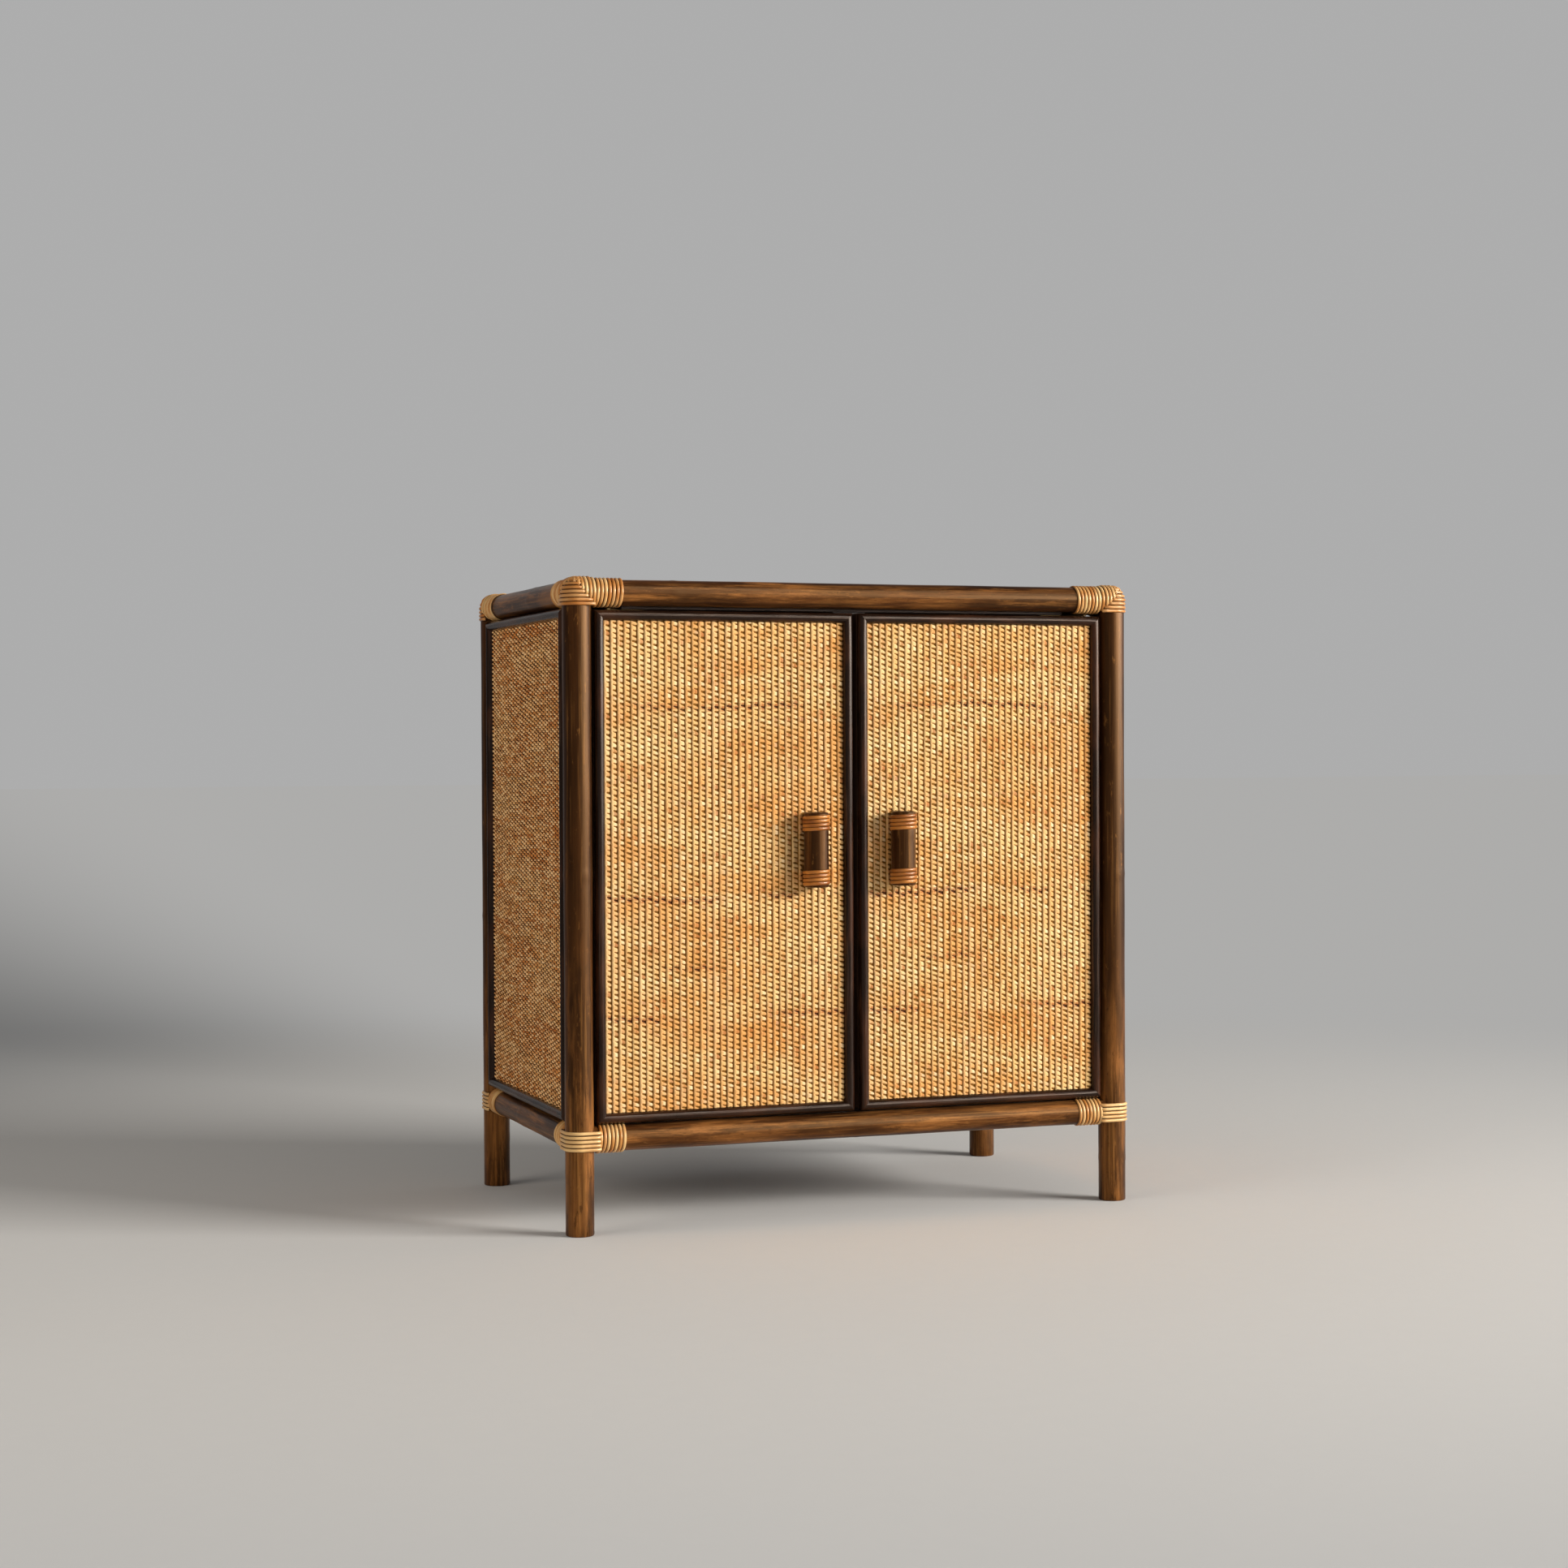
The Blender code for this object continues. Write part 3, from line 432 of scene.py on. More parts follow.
def ringPath(near, far, radius):
    # helix(a) = (along(a), -r cos a, r sin a), diving inward at both ends
    first, turns = bindings["startTurn"], bindings["turns"]
    angle = np.radians(np.linspace(first, first + 360 * turns, turns * 40))
    travel = np.linspace(0, 1, len(angle))
    along = near + (far - near) * travel
    ends = np.minimum(angle - angle[0], angle[-1] - angle)
    reach = radius - bindings["dive"] * (1 - easy(ends, 0, 0.35))
    path = np.stack([along, -reach * np.cos(angle), reach * np.sin(angle)], axis=1)
    outward = np.stack([np.zeros_like(angle), -np.cos(angle), np.sin(angle)], axis=1)
    return path, outward


def arcPath(along, height, radius):
    # arc(a) = (along, -r cos a, r sin a), from the front seam over the top to the plan's diagonal
    first = math.asin(max(-1, min(1, height / radius)))
    last = math.acos(max(-1, min(1, -along / radius)))
    angle = np.linspace(first, last, 30)
    ends = np.minimum(angle - first, last - angle)
    reach = radius - bindings["dive"] * (1 - easy(ends, 0, 0.16))
    path = np.stack([np.full_like(angle, along), -reach * np.cos(angle), reach * np.sin(angle)], axis=1)
    tilt = np.full_like(angle, min(along, 0))
    outward = np.stack([tilt, -radius * np.cos(angle), radius * np.sin(angle)], axis=1)
    return path, outward


def rowPath(height, reach, radius):
    # round the post's outer quarter: straight, r (cos a, sin a), straight, diving inward at both ends
    turn = np.radians(np.linspace(-90, -180, 26))
    facing = np.stack([np.cos(turn), np.sin(turn)], axis=1)
    lead = np.linspace(reach, 0, 8, endpoint=False)[:, None]
    before = np.hstack([lead, np.full_like(lead, -radius)])
    arc = np.vstack([before, facing * radius, before[::-1, ::-1]])
    facing = np.vstack([np.tile((0.0, -1.0), (8, 1)), facing, np.tile((-1.0, 0.0), (8, 1))])
    travelled = lengthAlong(arc)
    ends = np.minimum(travelled, travelled[-1] - travelled)
    arc = arc - facing * (bindings["dive"] * (1 - easy(ends, 0, 0.0035)))[:, None]
    level = np.full((len(arc), 1), height)
    slope = np.full((len(arc), 1), max(height - 0.003, 0) / radius)
    return np.hstack([arc, level]), np.hstack([facing, slope])


def cornerStrands(end):
    # every strand of a corner in corner coordinates: along the long rail, along the short rail, up;
    # with each comes the start of its grain, by which the paint tells rings, top and bottom rows apart
    pitch = bindings["pitch"]
    near = bindings["ringNear"]
    start = near + bindings["startTurn"] / 360 * pitch
    far = start + bindings["turns"] * pitch
    seat = bindings["railSeat"] - (bindings["bottomDrop"] if end == "bottom" else 0)
    rings = [ringPath(start, far, seat)]
    rows = []
    if end == "top":
        for along, height in arcSeam:
            radius = bindings["capSeat"] - 0.0014 * float(easy(along, 0.013, 0.021))
            if along < 0:
                radius = math.sqrt(bindings["capSeat"] ** 2 - along**2)
            rings.append(arcPath(along, height, radius))
        for height, reach in rowReach:
            radius = bindings["rowSeat"]
            if height > 0.004:
                radius = math.sqrt(bindings["capRowSeat"] ** 2 - height**2) - 0.0006
            rows.append(rowPath(height, reach, radius))
    else:
        for index in range(bindings["bandRows"]):
            height = bindings["bandOffset"] + (index - (bindings["bandRows"] - 1) / 2) * pitch
            rows.append(rowPath(height, near - bindings["bandGap"], bindings["rowSeat"]))
    swapped = [(path[:, (1, 0, 2)], outward[:, (1, 0, 2)]) for path, outward in rings]
    seed = bindings[end + "Seed"]
    return [(*strand, 0) for strand in rings + swapped] + [(*strand, seed) for strand in rows]


def canePaint():
    paint = Paint("honeyCane")
    grain = paint.attribute("grain")
    along = paint.noise(paint.stretch(grain, (30, 30, 26)), detail=3)
    tone = paint.noise(paint.stretch(grain, (0.9, 0.9, 4)), detail=2)
    fibres = paint.noise(paint.stretch(grain, (2200, 2200, 60)), detail=3, roughness=0.6)
    seed = paint.part(grain, 0)
    height = paint.part(grain, 1)
    # the top corners' rows, from topSeed on, are deeper and the bottom corners', from bottomSeed on, paler
    colour = paint.coats(
        paint.blend(along.rise(0.36, 0.62) * 0.85, bindings["honey"], bindings["pale"]),
        bindings,
        (along.rise(0.52, 0.30) * 0.6, "amber"),
        (tone.rise(0.50, 0.30) * 0.55, "amber"),
        (fibres.rise(0.45, 0.75) * 0.35, "amber"),
        (seed.rise(34, 36) * seed.rise(71, 69) * 0.55, "amber"),
        (seed.rise(74, 76) * 0.45, "pale"),
    )
    # painted shade: each strand darkens towards its low edges, in the crevices between strands
    colour = paint.blend(height.rise(0.0017, 0.0004), colour, bindings["edge"])
    inputs = {
        "Base Color": colour,
        "Roughness": 0.30 + 0.2 * fibres,
        "Specular IOR Level": 0.40,
        "Specular Tint": (1.0, 0.85, 0.62, 1),
        "Coat Weight": 0.25,
        "Coat Roughness": 0.14,
        "Normal": paint.bump(fibres, 0.00005, 0.5),
    }
    return paint.finish(inputs)


caneMaterial = canePaint()
strandShape = strandProfile(bindings["width"], bindings["thickness"])
for end, level in railLevel.items():
    for corner, (signX, signY) in cornerSigns.items():
        shape = Shape()
        for path, outward, seed in cornerStrands(end):
            signs = np.array((-signX, -signY, 1.0))
            placed = path * signs + (signX * postX, signY * postY, level)
            grid = tube(placed, outward * signs, strandShape)
            shape.add(grid, grainOf(placed, strandShape, seed + chance.uniform(0, 20)))
        node = f"binding_{end}_{corner}"
        shape.build(node + ".cane", caneMaterial, "cabinet", [node], 50)
print("bindings built")


# Cane wraps at the ends of the grips
wraps = {
    "turns": 4,
    "seat": 0.0156,
    "width": 0.0047,
    "thickness": 0.0016,
    "pitch": 0.00480,
    "honey": (0.25, 0.068, 0.009),
    "pale": (0.50, 0.180, 0.030),
    "fibre": (0.19, 0.050, 0.009),
    # painted shade for the wrap's low edges, in the crevices between its turns
    "edge": (0.055, 0.015, 0.004),
}


def wrapPath(low):
    # helix(a) = (-r cos a, r sin a, height(a)), which starts and ends inside the door's weave
    turn = np.radians(np.linspace(90, 90 - 360 * wraps["turns"], wraps["turns"] * 44))
    climb = low + np.linspace(0, wraps["turns"] * wraps["pitch"], len(turn))
    ring = np.stack([-wraps["seat"] * np.cos(turn), wraps["seat"] * np.sin(turn), climb], axis=1)[2:-2]
    facing = np.stack([-np.cos(turn), np.sin(turn), np.zeros_like(turn)], axis=1)[2:-2]
    return ring, facing


def wrapPaint():
    paint = Paint("wrapCane")
    grain = paint.attribute("grain")
    along = paint.noise(paint.stretch(grain, (30, 30, 22)), detail=2)
    fibres = paint.noise(paint.stretch(grain, (2200, 2200, 60)), detail=3, roughness=0.6)
    height = paint.part(grain, 1)
    colour = paint.coats(
        paint.blend(along.rise(0.35, 0.65), wraps["honey"], wraps["pale"]),
        wraps,
        (fibres.rise(0.45, 0.75) * 0.35, "fibre"),
        # painted shade towards each turn's low edges
        (height.rise(0.0012, 0.0003), "edge"),
    )
    inputs = {
        "Base Color": colour,
        "Roughness": 0.28 + 0.2 * fibres,
        "Specular IOR Level": 0.35,
        "Specular Tint": (1.0, 0.80, 0.55, 1),
        "Coat Weight": 0.30,
        "Coat Roughness": 0.10,
        "Normal": paint.bump(fibres, 0.00005, 0.5),
    }
    return paint.finish(inputs)


wrapMaterial = wrapPaint()
wrapShape = strandProfile(wraps["width"], wraps["thickness"])
for door in ("left", "right"):
    gripLow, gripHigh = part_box(f"grip_{door}")
    middle = (gripLow + gripHigh) / 2
    for end in ("lower", "upper"):
        node = f"grip_wrap_{door}_{end}"
        path, outward = wrapPath(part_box(node)[0].z + wraps["width"] / 2)
        path = path + (middle.x, middle.y, 0)
        shape = Shape()
        shape.add(tube(path, outward, wrapShape), grainOf(path, wrapShape, chance.uniform(0, 30)))
        shape.build(node + ".cane", wrapMaterial, f"door_{door}", [node], 50)
print("wraps built")


# Woven cane panels
weave = {
    "stakePitch": 0.00875,
    "floatPitch": 0.0064,
    "sideStakePitch": 0.0090,
    "sideFloatPitch": 0.00534,
    "parts": 2,
    "stations": (0.0, 0.07, 0.32, 0.44, 0.74, 0.94),
    "spine": 0.35,
    "toothRise": (0.28, 0.43),
    "toothFall": (0.76, 0.94),
    "gapRise": (0.30, 0.43),
    "doorSkews": {"left": 0.36, "right": 0.52},
    "doorSteps": 8,
    "sideSkew": 0.12,
    "sideSteps": 6,
    "sideFlank": 0.8,
    "topSkew": 0.4,
    "topSteps": 6,
    "relief": 0.0022,
    "lift": 0.0002,
    "tuck": 0.0012,
    "wobble": 0.00022,
    "rowWave": 0.0022,
    "windowHeight": 0.04,
    "windowReach": 0.0115,
    "windowMargin": 0.0006,
    "straw": (0.850, 0.555, 0.235),
    "orange": (0.770, 0.365, 0.112),
    "paleStraw": (0.950, 0.740, 0.430),
    "brown": (0.380, 0.100, 0.017),
    # painted shade for the gaps of the doors' and top's weave
    "shade": (0.250, 0.110, 0.016),
    # darker painted shade for the gaps along the dark streak rows
    "streakGapShade": (0.085, 0.027, 0.007),
    # painted highlight for the sides' tips
    "sideTipHighlight": (1.0, 0.800, 0.480),
    # painted shade for the sides' gaps, deeper than the doors'
    "sideShade": (0.055, 0.017, 0.004),
    # painted warm tint over the sides, for the warm light in their shade
    "sideShadeTint": (1.0, 0.83, 0.70),
}


def weavePaint(name, shade, deep):
    # the chart counts stakes across and rows up, and its third value is how high the cane stands; shade is
    # painted where that value is low; deep is 1 on the sides, where the tips and gaps stand out against each
    # other, with darker painted shade in the gaps, a painted highlight on the tips and a painted warm tint,
    # or else 0
    paint = Paint(name)
    chart = paint.attribute("chart")
    column = paint.part(chart, 0)
    row = paint.part(chart, 1)
    relief = paint.part(chart, 2)
    stake = column.floor()
    odd = stake - 2 * (stake / 2).floor()
    weft = (row + 0.5 * odd).floor() * 2 + odd
    below = (row + 0.5 * odd + 0.5).floor()
    finger = (column - stake).rise(0.38, 0.5)
    fibres = paint.noise(paint.stretch(paint.place(), (1500, 1500, 1500)), detail=3, roughness=0.6)
    patches = paint.noise(paint.join(column * 0.045, row * 0.11, 0.0), detail=3)
    stains = paint.noise(paint.join(stake * 3.7, row * 0.21, 5.0), detail=2)
    dashes = paint.noise(paint.join(column * 0.16, weft * 7.31, 0.0), detail=2, roughness=0.6)
    glints = paint.noise(paint.join(column * 0.22, weft * 5.17, 9.0), detail=2, roughness=0.6)
    lengths = paint.noise(paint.join(column * 0.03, weft * 3.13, 2.0), detail=3, roughness=0.6)
    lengthwise = paint.noise(paint.join(column * 0.06, below * 3.31, 4.0), detail=3, roughness=0.65)
    lot = paint.lot(weft * 1.37 + stake * 17.31)
    streak = paint.lot(below * 3.0 + 0.5).rise(0.085, 0.08) * lengthwise.rise(0.42, 0.52)
    clear = paint.lot(weft + 0.25).rise(0.045, 0.04) * glints.rise(0.35, 0.50)
    colour = paint.coats(
        paint.blend(patches.rise(0.36, 0.62), weave["orange"], weave["straw"]),
        weave,
        (paint.lot(stake + 0.5).rise(0.5, 1.0) * 0.25, "paleStraw"),
        (stains.rise(0.56, 0.72) * 0.5, "orange"),
        (lengths.rise(0.50, 0.72) * (0.25 + 0.6 * finger), "orange"),
        (lengths.rise(0.46, 0.30) * (0.2 + 0.5 * finger), "paleStraw"),
        ((0.4 + 0.6 * finger) * lot.rise(0.55, 1.0) * 0.5, "orange"),
        (finger * glints.rise(0.52, 0.70) * 0.6, "paleStraw"),
        ((0.35 + 0.65 * finger) * dashes.rise(0.52, 0.70) * 0.75, "brown"),
        (streak * (0.35 + 0.35 * finger), "brown"),
        (clear * (0.3 + 0.7 * finger) * 0.6, "paleStraw"),
    )
    # on the sides a highlight is painted on the highest tips, random floats turn browner, and a warm tint is
    # painted over all for the warm light in their shade
    if deep:
        tipHighlight = relief.rise(0.88, 1.0) * lot.rise(0.2, 0.8)
        colour = paint.coats(colour, weave, (tipHighlight, "sideTipHighlight"), (lot.rise(0.45, 0.0) * 0.35, "brown"))
        colour = paint.blend(1.0, colour, weave["sideShadeTint"], "MULTIPLY")
    # painted shade: where the relief is low, in the gaps between floats and the valleys between stakes, the
    # colour turns to the shade tone, darker still along the streak rows
    paintedGapShade = relief.rise(0.88 + 0.06 * deep, 0.26 + 0.14 * deep)
    colour = paint.blend(paintedGapShade, colour, paint.blend(streak, shade, weave["streakGapShade"]))
    inputs = {
        "Base Color": colour,
        "Roughness": 0.52 + 0.2 * fibres,
        "Specular IOR Level": 0.08,
        "Specular Tint": (1.0, 0.85, 0.65, 1),
        "Normal": paint.bump(fibres, 0.00008, 0.5),
    }
    return paint.finish(inputs)


doorWeaveMaterial = weavePaint("wovenCane", weave["shade"], 0)
sideWeaveMaterial = weavePaint("wovenCaneSide", weave["sideShade"], 1)


def axesOf(node, right, up, out, tuck=0.0):
    # a flat CAD node's axes, middle on its base plane, half width, half height and thickness
    right, up, out = (np.array(axis, float) for axis in (right, up, out))
    low, high = (np.array(corner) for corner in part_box(node))
    half = (high - low) / 2
    thickness = 2 * abs(half @ out)
    middle = (low + high) / 2 - out * thickness / 2
    return (right, up, out), middle, abs(half @ right) + tuck, abs(half @ up) + tuck, thickness


def addWeave(name, node, body, axes, skew, steps, windows=(), flank=0.0):
    # height(u, v) = plateau(u) (1 - tooth(u) gap(v + skew u)), with u in stakes and v in rows: a spine
    # at the left of each stake, and floats that stand out from it to the right like a comb's teeth;
    # flank is 0 for the doors and the top and near 1 for the sides, whose weave is a grid of blunt tips
    (right, up, out), middle, halfWidth, halfHeight, _ = axesOf(node, *axes, weave["tuck"])
    columns = round(2 * halfWidth / weave["sideStakePitch" if flank else "stakePitch"])
    rows = round(2 * halfHeight / weave["sideFloatPitch" if flank else "floatPitch"])
    material = sideWeaveMaterial if flank else doorWeaveMaterial
    stations = np.array(weave["stations"])
    parts = weave["parts"]
    splits = np.linspace(0, columns, parts + 1).round().astype(int)
    v = np.linspace(0, rows, rows * steps + 1)
    drift = chance.uniform(0, 6.28, (columns + 1, 2))
    lots = chance.uniform(-1, 1, (columns + 1, rows + 2))
    sway = chance.uniform(0, 6.28, 3)
    for part in range(parts):
        first, last = splits[part], splits[part + 1]
        u = np.append((np.arange(first, last)[:, None] + stations).ravel(), last)
        stake = np.minimum(np.floor(u), columns - 1).astype(int)
        within = u - stake
        wave = np.sin(v[None] * 0.21 + drift[stake, :1]) + np.sin(v[None] * 0.09 + drift[stake, 1:])
        fade = easy(np.minimum(u, columns - u), 0, 1)[:, None]
        across = (u[:, None] / columns * 2 - 1) * halfWidth + weave["wobble"] * wave * fade * within[:, None]
        phase = v[None] + 0.5 * (stake % 2)[:, None] + skew * (within[:, None] - 0.45)
        finger = np.floor(phase).astype(int)
        lot = lots[stake[:, None], np.clip(finger, 0, rows + 1)]
        offset = np.abs(phase - finger - 0.5 - 0.05 * lot)
        taper = 0.10 * easy(within, 0.60, 1.0)[:, None]
        taper = taper + 0.14 * flank
        gapStart, gapEnd = weave["gapRise"]
        gap = easy(offset, gapStart + 0.06 * lot - taper, gapEnd + 0.05 * lot - taper + 0.05 * flank)
        shift = 0.05 * np.sin(drift[stake, 0] * 7)[:, None] + 0.04 * lot
        tooth = np.maximum(easy(within[:, None] - shift, *weave["toothRise"]), 0.75 * flank)
        plateau = weave["spine"] + (1 - weave["spine"]) * easy(within, *weave["stations"][:2])[:, None]
        plateau = plateau * (1 - (0.50 + 0.35 * lot) * easy(within, *weave["toothFall"])[:, None])
        height = plateau * (1 - 0.95 * tooth * gap) * (1 - 0.10 * tooth + 0.07 * lot)
        swing = np.sin(u / columns * 4.1 + sway[0]) + 0.6 * np.sin(u / columns * 9.7 + sway[1])
        edge = easy(np.minimum(v, rows - v), 0, 9)[None]
        level = (v / rows * 2 - 1)[None] * halfHeight + weave["rowWave"] * edge * swing[:, None]
        for middleAcross, middleUp, reachAcross, reachUp in windows:
            inside = (np.abs(across - middleAcross) < reachAcross) & (np.abs(level - middleUp) < reachUp)
            height = np.where(inside, weave["windowHeight"], height)
        # the third chart value tells the paint where to put shade and tip highlights: the height on the
        # doors and top, and on the sides mostly where the gaps are
        shown = height + flank * (1 - 0.97 * tooth * gap - height)
        chart = [np.broadcast_to(u[:, None], height.shape), np.broadcast_to(v[None], height.shape), shown]
        # a border of doubled points drops the sheet's edge to its base
        border = ((1, 1), (1, 1), (0, 0))
        grid = middle + across[..., None] * right + level[..., None] * up
        lift = weave["relief"] * height + weave["lift"]
        front = np.pad(grid + out * lift[..., None], border, "edge")
        base = np.pad(grid, border, "edge")
        front[[0, -1]] = base[[0, -1]]
        front[:, [0, -1]] = base[:, [0, -1]]
        chart = np.pad(np.stack(chart, axis=-1), border, "edge")
        shape = Shape()
        shape.add(front[:, ::-1], chart[:, ::-1], around=False)
        shape.build(f"{name}.{part + 1}", material, body, [node], 0, "chart")


frontAxes = (1, 0, 0), (0, 0, 1), (0, -1, 0)
backAxes = (-1, 0, 0), (0, 0, 1), (0, 1, 0)
leftAxes = (0, -1, 0), (0, 0, 1), (-1, 0, 0)
rightAxes = (0, 1, 0), (0, 0, 1), (1, 0, 0)
topAxes = (1, 0, 0), (0, 1, 0), (0, 0, 1)
for door in ("left", "right"):
    doorLow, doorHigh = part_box(f"door_weave_{door}")
    doorMiddle = (doorLow + doorHigh) / 2
    # the weave lies flat where the grip's wraps pass through it
    windows = []
    for end in ("lower", "upper"):
        low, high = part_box(f"grip_wrap_{door}_{end}")
        middle = (low + high) / 2
        reaches = weave["windowReach"], (high.z - low.z) / 2 + weave["windowMargin"]
        windows.append((middle.x - doorMiddle.x, middle.z - doorMiddle.z, *reaches))
    skew, steps = weave["doorSkews"][door], weave["doorSteps"]
    addWeave(f"doorWeave.{door}", f"door_weave_{door}", f"door_{door}", frontAxes, skew, steps, windows)
for side, axes in (("left", leftAxes), ("right", rightAxes)):
    skew, steps, flank = weave["sideSkew"], weave["sideSteps"], weave["sideFlank"]
    addWeave(f"sideWeave.{side}", f"side_weave_{side}", "cabinet", axes, skew, steps, flank=flank)
addWeave("topWeave", "top_weave", "cabinet", topAxes, weave["topSkew"], weave["topSteps"])
print("weave built")


# Half-round mouldings
mouldings = {
    "width": 0.0130,
    "sides": 12,
    "stations": 30,
    "ripple": 0.02,
    "dark": (0.011, 0.004, 0.002),
    "worn": (0.050, 0.017, 0.007),
    "wear": (0.120, 0.070, 0.045),
}


def mouldingPaint():
    paint = Paint("darkMoulding")
    grain = paint.attribute("grain")
    fibres = paint.noise(paint.stretch(grain, (1400, 1400, 22)), detail=4, roughness=0.65)
    streaks = paint.noise(paint.stretch(grain, (420, 420, 8)), detail=3)
    clouds = paint.noise(paint.stretch(grain, (60, 60, 14)), detail=3)
    colour = paint.coats(
        paint.blend(clouds.rise(0.42, 0.70), mouldings["dark"], mouldings["worn"]),
        mouldings,
        (streaks.rise(0.58, 0.72) * 0.5, "wear"),
        (fibres.rise(0.50, 0.30) * 0.7, "dark"),
    )
    inputs = {
        "Base Color": colour,
        "Roughness": 0.15 + 0.20 * fibres,
        "Specular IOR Level": 0.26,
        "Specular Tint": (1.0, 0.84, 0.72, 1),
        "Normal": paint.bump(streaks, 0.0003, 0.5, paint.bump(fibres, 0.00008, 0.6)),
    }
    return paint.finish(inputs)


mouldingMaterial = mouldingPaint()


def addMoulding(node, body, axes):
    # inset(t) = width / 2 (1 + cos t), rise(t) = height (sin t)^0.9, carried along four mitred lengths
    (right, up, out), middle, halfWidth, halfHeight, height = axesOf(node, *axes)
    turn = np.linspace(0, math.pi, mouldings["sides"] + 1)
    inset = mouldings["width"] / 2 * (1 + np.cos(turn))
    rise = height * np.sin(turn) ** 0.9
    shares = np.linspace(0, 1, mouldings["stations"])[:, None]
    lengths = (
        (right, -up, halfWidth, halfHeight),
        (up, right, halfHeight, halfWidth),
        (-right, up, halfWidth, halfHeight),
        (-up, -right, halfHeight, halfWidth),
    )
    shape = Shape()
    for along, outer, reach, far in lengths:
        travel = (reach - inset) * (2 * shares - 1)
        phase = chance.uniform(0, 6.28, 2)
        ripple = mouldings["ripple"] * np.sin(travel * 60 + phase[0]) * np.sin(travel * 23 + phase[1])
        grid = middle + travel[..., None] * along + (far - inset)[None, :, None] * outer
        grid = grid + (rise * (1 + ripple))[..., None] * out
        across = np.broadcast_to(inset + chance.uniform(0, 30), travel.shape)
        grain = np.stack([across, np.broadcast_to(rise, travel.shape), travel], axis=-1)
        shape.add(grid, grain)
    shape.build(node + ".moulding", mouldingMaterial, body, [node], 40)


for door in ("left", "right"):
    addMoulding(f"door_trim_{door}", f"door_{door}", frontAxes)
addMoulding("side_trim_left", "cabinet", leftAxes)
addMoulding("side_trim_right", "cabinet", rightAxes)
addMoulding("back_trim", "cabinet", backAxes)
addMoulding("top_trim", "cabinet", topAxes)
print("mouldings built")


# Boards and fittings keep the CAD's own shapes
fittings = {
    "board": (0.100, 0.048, 0.023),
    "boardDark": (0.050, 0.022, 0.010),
    "pore": (0.050, 0.024, 0.012),
    "brass": (0.060, 0.038, 0.016),
    "steel": (0.300, 0.290, 0.280),
    "plastic": (0.035, 0.018, 0.012),
    "plasticPale": (0.055, 0.030, 0.020),
}


def boardPaint(name, fine, coarse):
    # fine and coarse: noise scales per axis, low along the grain
    paint = Paint(name)
    place = paint.place()
    veins = paint.noise(paint.stretch(place, coarse), detail=6, roughness=0.65)
    pores = paint.noise(paint.stretch(place, fine), detail=2)
    colour = paint.blend(veins.rise(0.35, 0.65), fittings["boardDark"], fittings["board"])
    colour = paint.blend(pores.rise(0.55, 0.75) * 0.4, colour, fittings["pore"])
    inputs = {
        "Base Color": colour,
        "Roughness": 0.48 + 0.15 * pores,
        "Normal": paint.bump(veins, 0.0001, 0.4),
    }
    return paint.finish(inputs)


def metalPaint(name, colour, roughness):
    paint = Paint(name)
    place = paint.place()
    brushed = paint.noise(paint.stretch(place, (2500, 300, 2500)), detail=3)
    stains = paint.noise(place, 160.0, 3)
    darker = tuple(0.55 * share for share in colour)
    inputs = {
        "Base Color": paint.blend(stains.rise(0.5, 0.8) * 0.6, colour, darker),
        "Metallic": 1.0,
        "Roughness": roughness + 0.2 * brushed,
        "Normal": paint.bump(brushed, 0.00002, 0.4),
    }
    return paint.finish(inputs)


def catchPaint():
    paint = Paint("catchPlastic")
    speck = paint.noise(paint.place(), 900.0, 3)
    inputs = {
        "Base Color": paint.blend(speck, fittings["plastic"], fittings["plasticPale"]),
        "Roughness": 0.40 + 0.15 * speck,
        "Normal": paint.bump(speck, 0.00003, 0.4),
    }
    return paint.finish(inputs)


# The catch is the only CAD object still showing in the dark slot
slotMaterials = {
    "dark_moulding": catchPaint(),
    "stained_board": boardPaint("stainedBoard", (60, 900, 900), (5, 110, 110)),
    "brass": metalPaint("agedBrass", fittings["brass"], 0.38),
    "steel": metalPaint("brushedSteel", fittings["steel"], 0.34),
}
uprightBoard = boardPaint("stainedBoardUpright", (900, 900, 60), (110, 110, 5))
uprightNodes = ("door_board", "side_board", "back_board")
for nodeName, node in nodes.items():
    for index, slot in enumerate(node.material_slots):
        for name, material in slotMaterials.items():
            if slot.material and slot.material.name.split(".")[0] == name:
                upright = name == "stained_board" and nodeName.startswith(uprightNodes)
                node.material_slots[index].material = uprightBoard if upright else material
print("fittings painted")


# Floor, lamps and camera
studio = {
    "floor": (0.74, 0.73, 0.715),
    "floorSpeck": (0.66, 0.65, 0.64),
    "floorReach": 40,
    "floorFade": (0.9, 2.8),
    "ambient": 0.19,
    "background": 0.42,
    "dim": 0.17,
    "dimTurn": 240.0,
    "dimFade": (0.42, 0.78),
    "ceiling": 0.10,
    "aimHeight": 0.42,
}
# The fill only lifts the shaded side; the edge only draws gloss along the posts, the line along the rails
lamps = {
    "key": {"turn": 52, "rise": 15, "distance": 8.0, "size": (3.7, 1.9), "power": 905},
    "fill": {"turn": -75, "rise": 20, "distance": 4.0, "size": (2.4, 1.6), "power": 38,
             "colour": (1.0, 0.92, 0.82), "glossy": False},
    "edge": {"turn": 50, "rise": 14, "distance": 4.5, "size": (6.0, 1.8), "power": 330, "diffuse": False},
    "line": {"turn": 20, "rise": 42, "distance": 4.0, "size": (1.6, 0.5), "power": 50, "diffuse": False},
}


def backdropLevel(paint, toward):
    # the backdrop is darker on one side, which keeps grazing gloss off the stained poles
    turn = math.radians(studio["dimTurn"])
    sine, cosine = round(math.sin(turn), 5), round(math.cos(turn), 5)
    facing = paint.part(toward, 0) * sine - paint.part(toward, 1) * cosine
    return studio["background"] + facing.rise(*studio["dimFade"]) * (studio["dim"] - studio["background"])


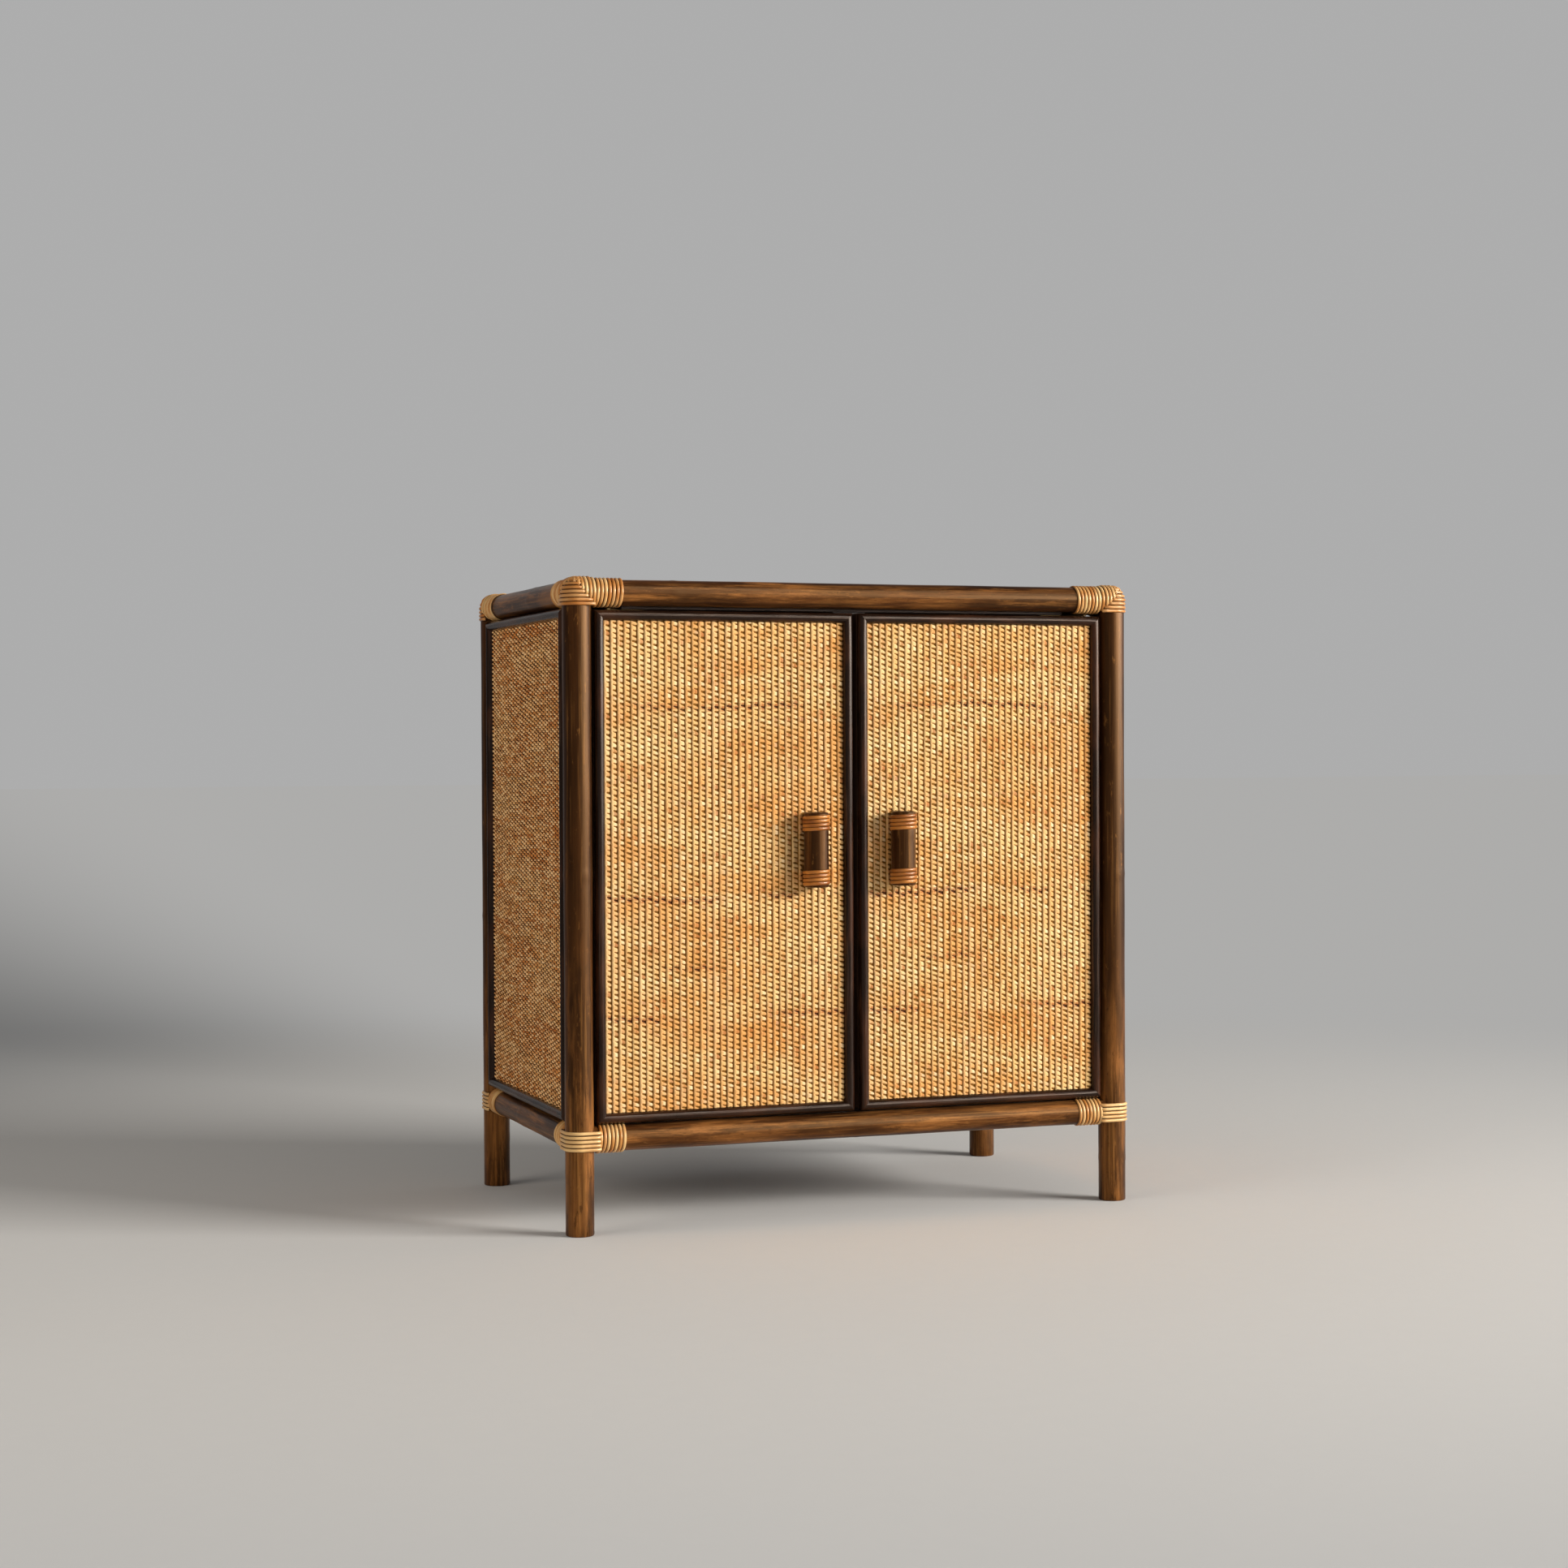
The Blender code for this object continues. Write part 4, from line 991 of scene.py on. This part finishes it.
def addFloor():
    # the floor glows at the backdrop's level with distance, so that no horizon shows
    paint = Paint("floor")
    place = paint.place()
    speck = paint.noise(place, 40.0, 3)
    colour = paint.blend(speck.rise(0.3, 0.7) * 0.06, studio["floor"], studio["floorSpeck"])
    inputs = {"Base Color": colour, "Roughness": 0.85, "Specular IOR Level": 0.1}
    shader = paint.node("ShaderNodeBsdfPrincipled", inputs=inputs)
    toward = paint.node("ShaderNodeVectorMath", {"operation": "NORMALIZE"}, {0: place})
    level = backdropLevel(paint, toward)
    tone = paint.join(level, level * 0.99, level * 0.97)
    glow = paint.node("ShaderNodeEmission", inputs={"Color": tone, "Strength": 1.0})
    distance = paint.node("ShaderNodeVectorMath", {"operation": "LENGTH"}, {0: place}, 1)
    far = distance.rise(*studio["floorFade"])
    mixed = paint.node("ShaderNodeMixShader", inputs={0: far * paint.behind(), 1: shader, 2: glow})
    paint.node("ShaderNodeOutputMaterial", inputs={"Surface": mixed})
    mesh = bpy.data.meshes.new("floor")
    reach = studio["floorReach"]
    corners = [(-reach, -reach, 0), (reach, -reach, 0), (reach, reach, 0), (-reach, reach, 0)]
    mesh.from_pydata(corners, [], [(0, 1, 2, 3)])
    mesh.materials.append(paint.block)
    floor = bpy.data.objects.new("floor", mesh)
    bpy.context.collection.objects.link(floor)


def addWorld():
    paint = Paint("studio", bpy.data.worlds)
    inputs = {"Color": (1.0, 0.985, 0.96, 1), "Strength": studio["ambient"]}
    light = paint.node("ShaderNodeBackground", inputs=inputs)
    toward = paint.node("ShaderNodeTexCoord")
    rise = paint.part(toward, 2).rise(0.25, 0.75)
    level = backdropLevel(paint, toward)
    level = paint.join(level, level, level)
    pale = paint.blend(rise, level, (studio["ceiling"],) * 3)
    shown = paint.node("ShaderNodeBackground", inputs={"Color": pale, "Strength": 1.0})
    mixed = paint.node("ShaderNodeMixShader", inputs={0: paint.behind(), 1: light, 2: shown})
    paint.node("ShaderNodeOutputWorld", inputs={"Surface": mixed})
    bpy.context.scene.world = paint.block


def addLamp(name, turn, rise, distance, size, power, colour=(1.0, 0.97, 0.92), diffuse=True, glossy=True):
    # turn and rise are degrees from the cabinet's front and from the floor
    lamp = bpy.data.lights.new(name, "AREA")
    lamp.shape = "RECTANGLE"
    lamp.size, lamp.size_y = size
    lamp.energy = power
    lamp.color = colour
    item = bpy.data.objects.new(name, lamp)
    bpy.context.collection.objects.link(item)
    turn, rise = math.radians(turn), math.radians(rise)
    toward = np.array((math.sin(turn) * math.cos(rise), -math.cos(turn) * math.cos(rise), math.sin(rise)))
    side = unit(np.cross((0.0, 0.0, 1.0), toward))
    matrix = np.eye(4)
    matrix[:3, 0] = side
    matrix[:3, 1] = np.cross(toward, side)
    matrix[:3, 2] = toward
    matrix[:3, 3] = toward * distance + (0, 0, studio["aimHeight"])
    item.matrix_world = Matrix(matrix.tolist())
    item.visible_diffuse = diffuse
    item.visible_glossy = glossy


# Fitted to the photograph: metres, radians and millimetres
lens = {
    "place": (-1.24995, -3.38700, 0.59189),
    "yaw": 0.3489,
    "pitch": 0.0136,
    "roll": -0.0047,
    "focal": 62.39,
    "sensor": 36,
}


def addCamera():
    yaw, pitch, roll = lens["yaw"], lens["pitch"], lens["roll"]
    level = np.array((math.sin(yaw), math.cos(yaw), 0))
    right = np.array((math.cos(yaw), -math.sin(yaw), 0))
    top = np.array((0, 0, 1.0))
    ahead = level * math.cos(pitch) - top * math.sin(pitch)
    above = top * math.cos(pitch) + level * math.sin(pitch)
    matrix = np.eye(4)
    matrix[:3, 0] = right * math.cos(roll) + above * math.sin(roll)
    matrix[:3, 1] = above * math.cos(roll) - right * math.sin(roll)
    matrix[:3, 2] = -ahead
    matrix[:3, 3] = lens["place"]
    data = bpy.data.cameras.new("photoCamera")
    data.lens = lens["focal"]
    data.sensor_width = lens["sensor"]
    data.clip_start = 0.05
    item = bpy.data.objects.new("photoCamera", data)
    bpy.context.collection.objects.link(item)
    item.matrix_world = Matrix(matrix.tolist())
    bpy.context.scene.camera = item


addFloor()
addWorld()
for name, values in lamps.items():
    addLamp(name, **values)
addCamera()
bpy.context.scene.view_settings.view_transform = "Standard"
print("studio set")
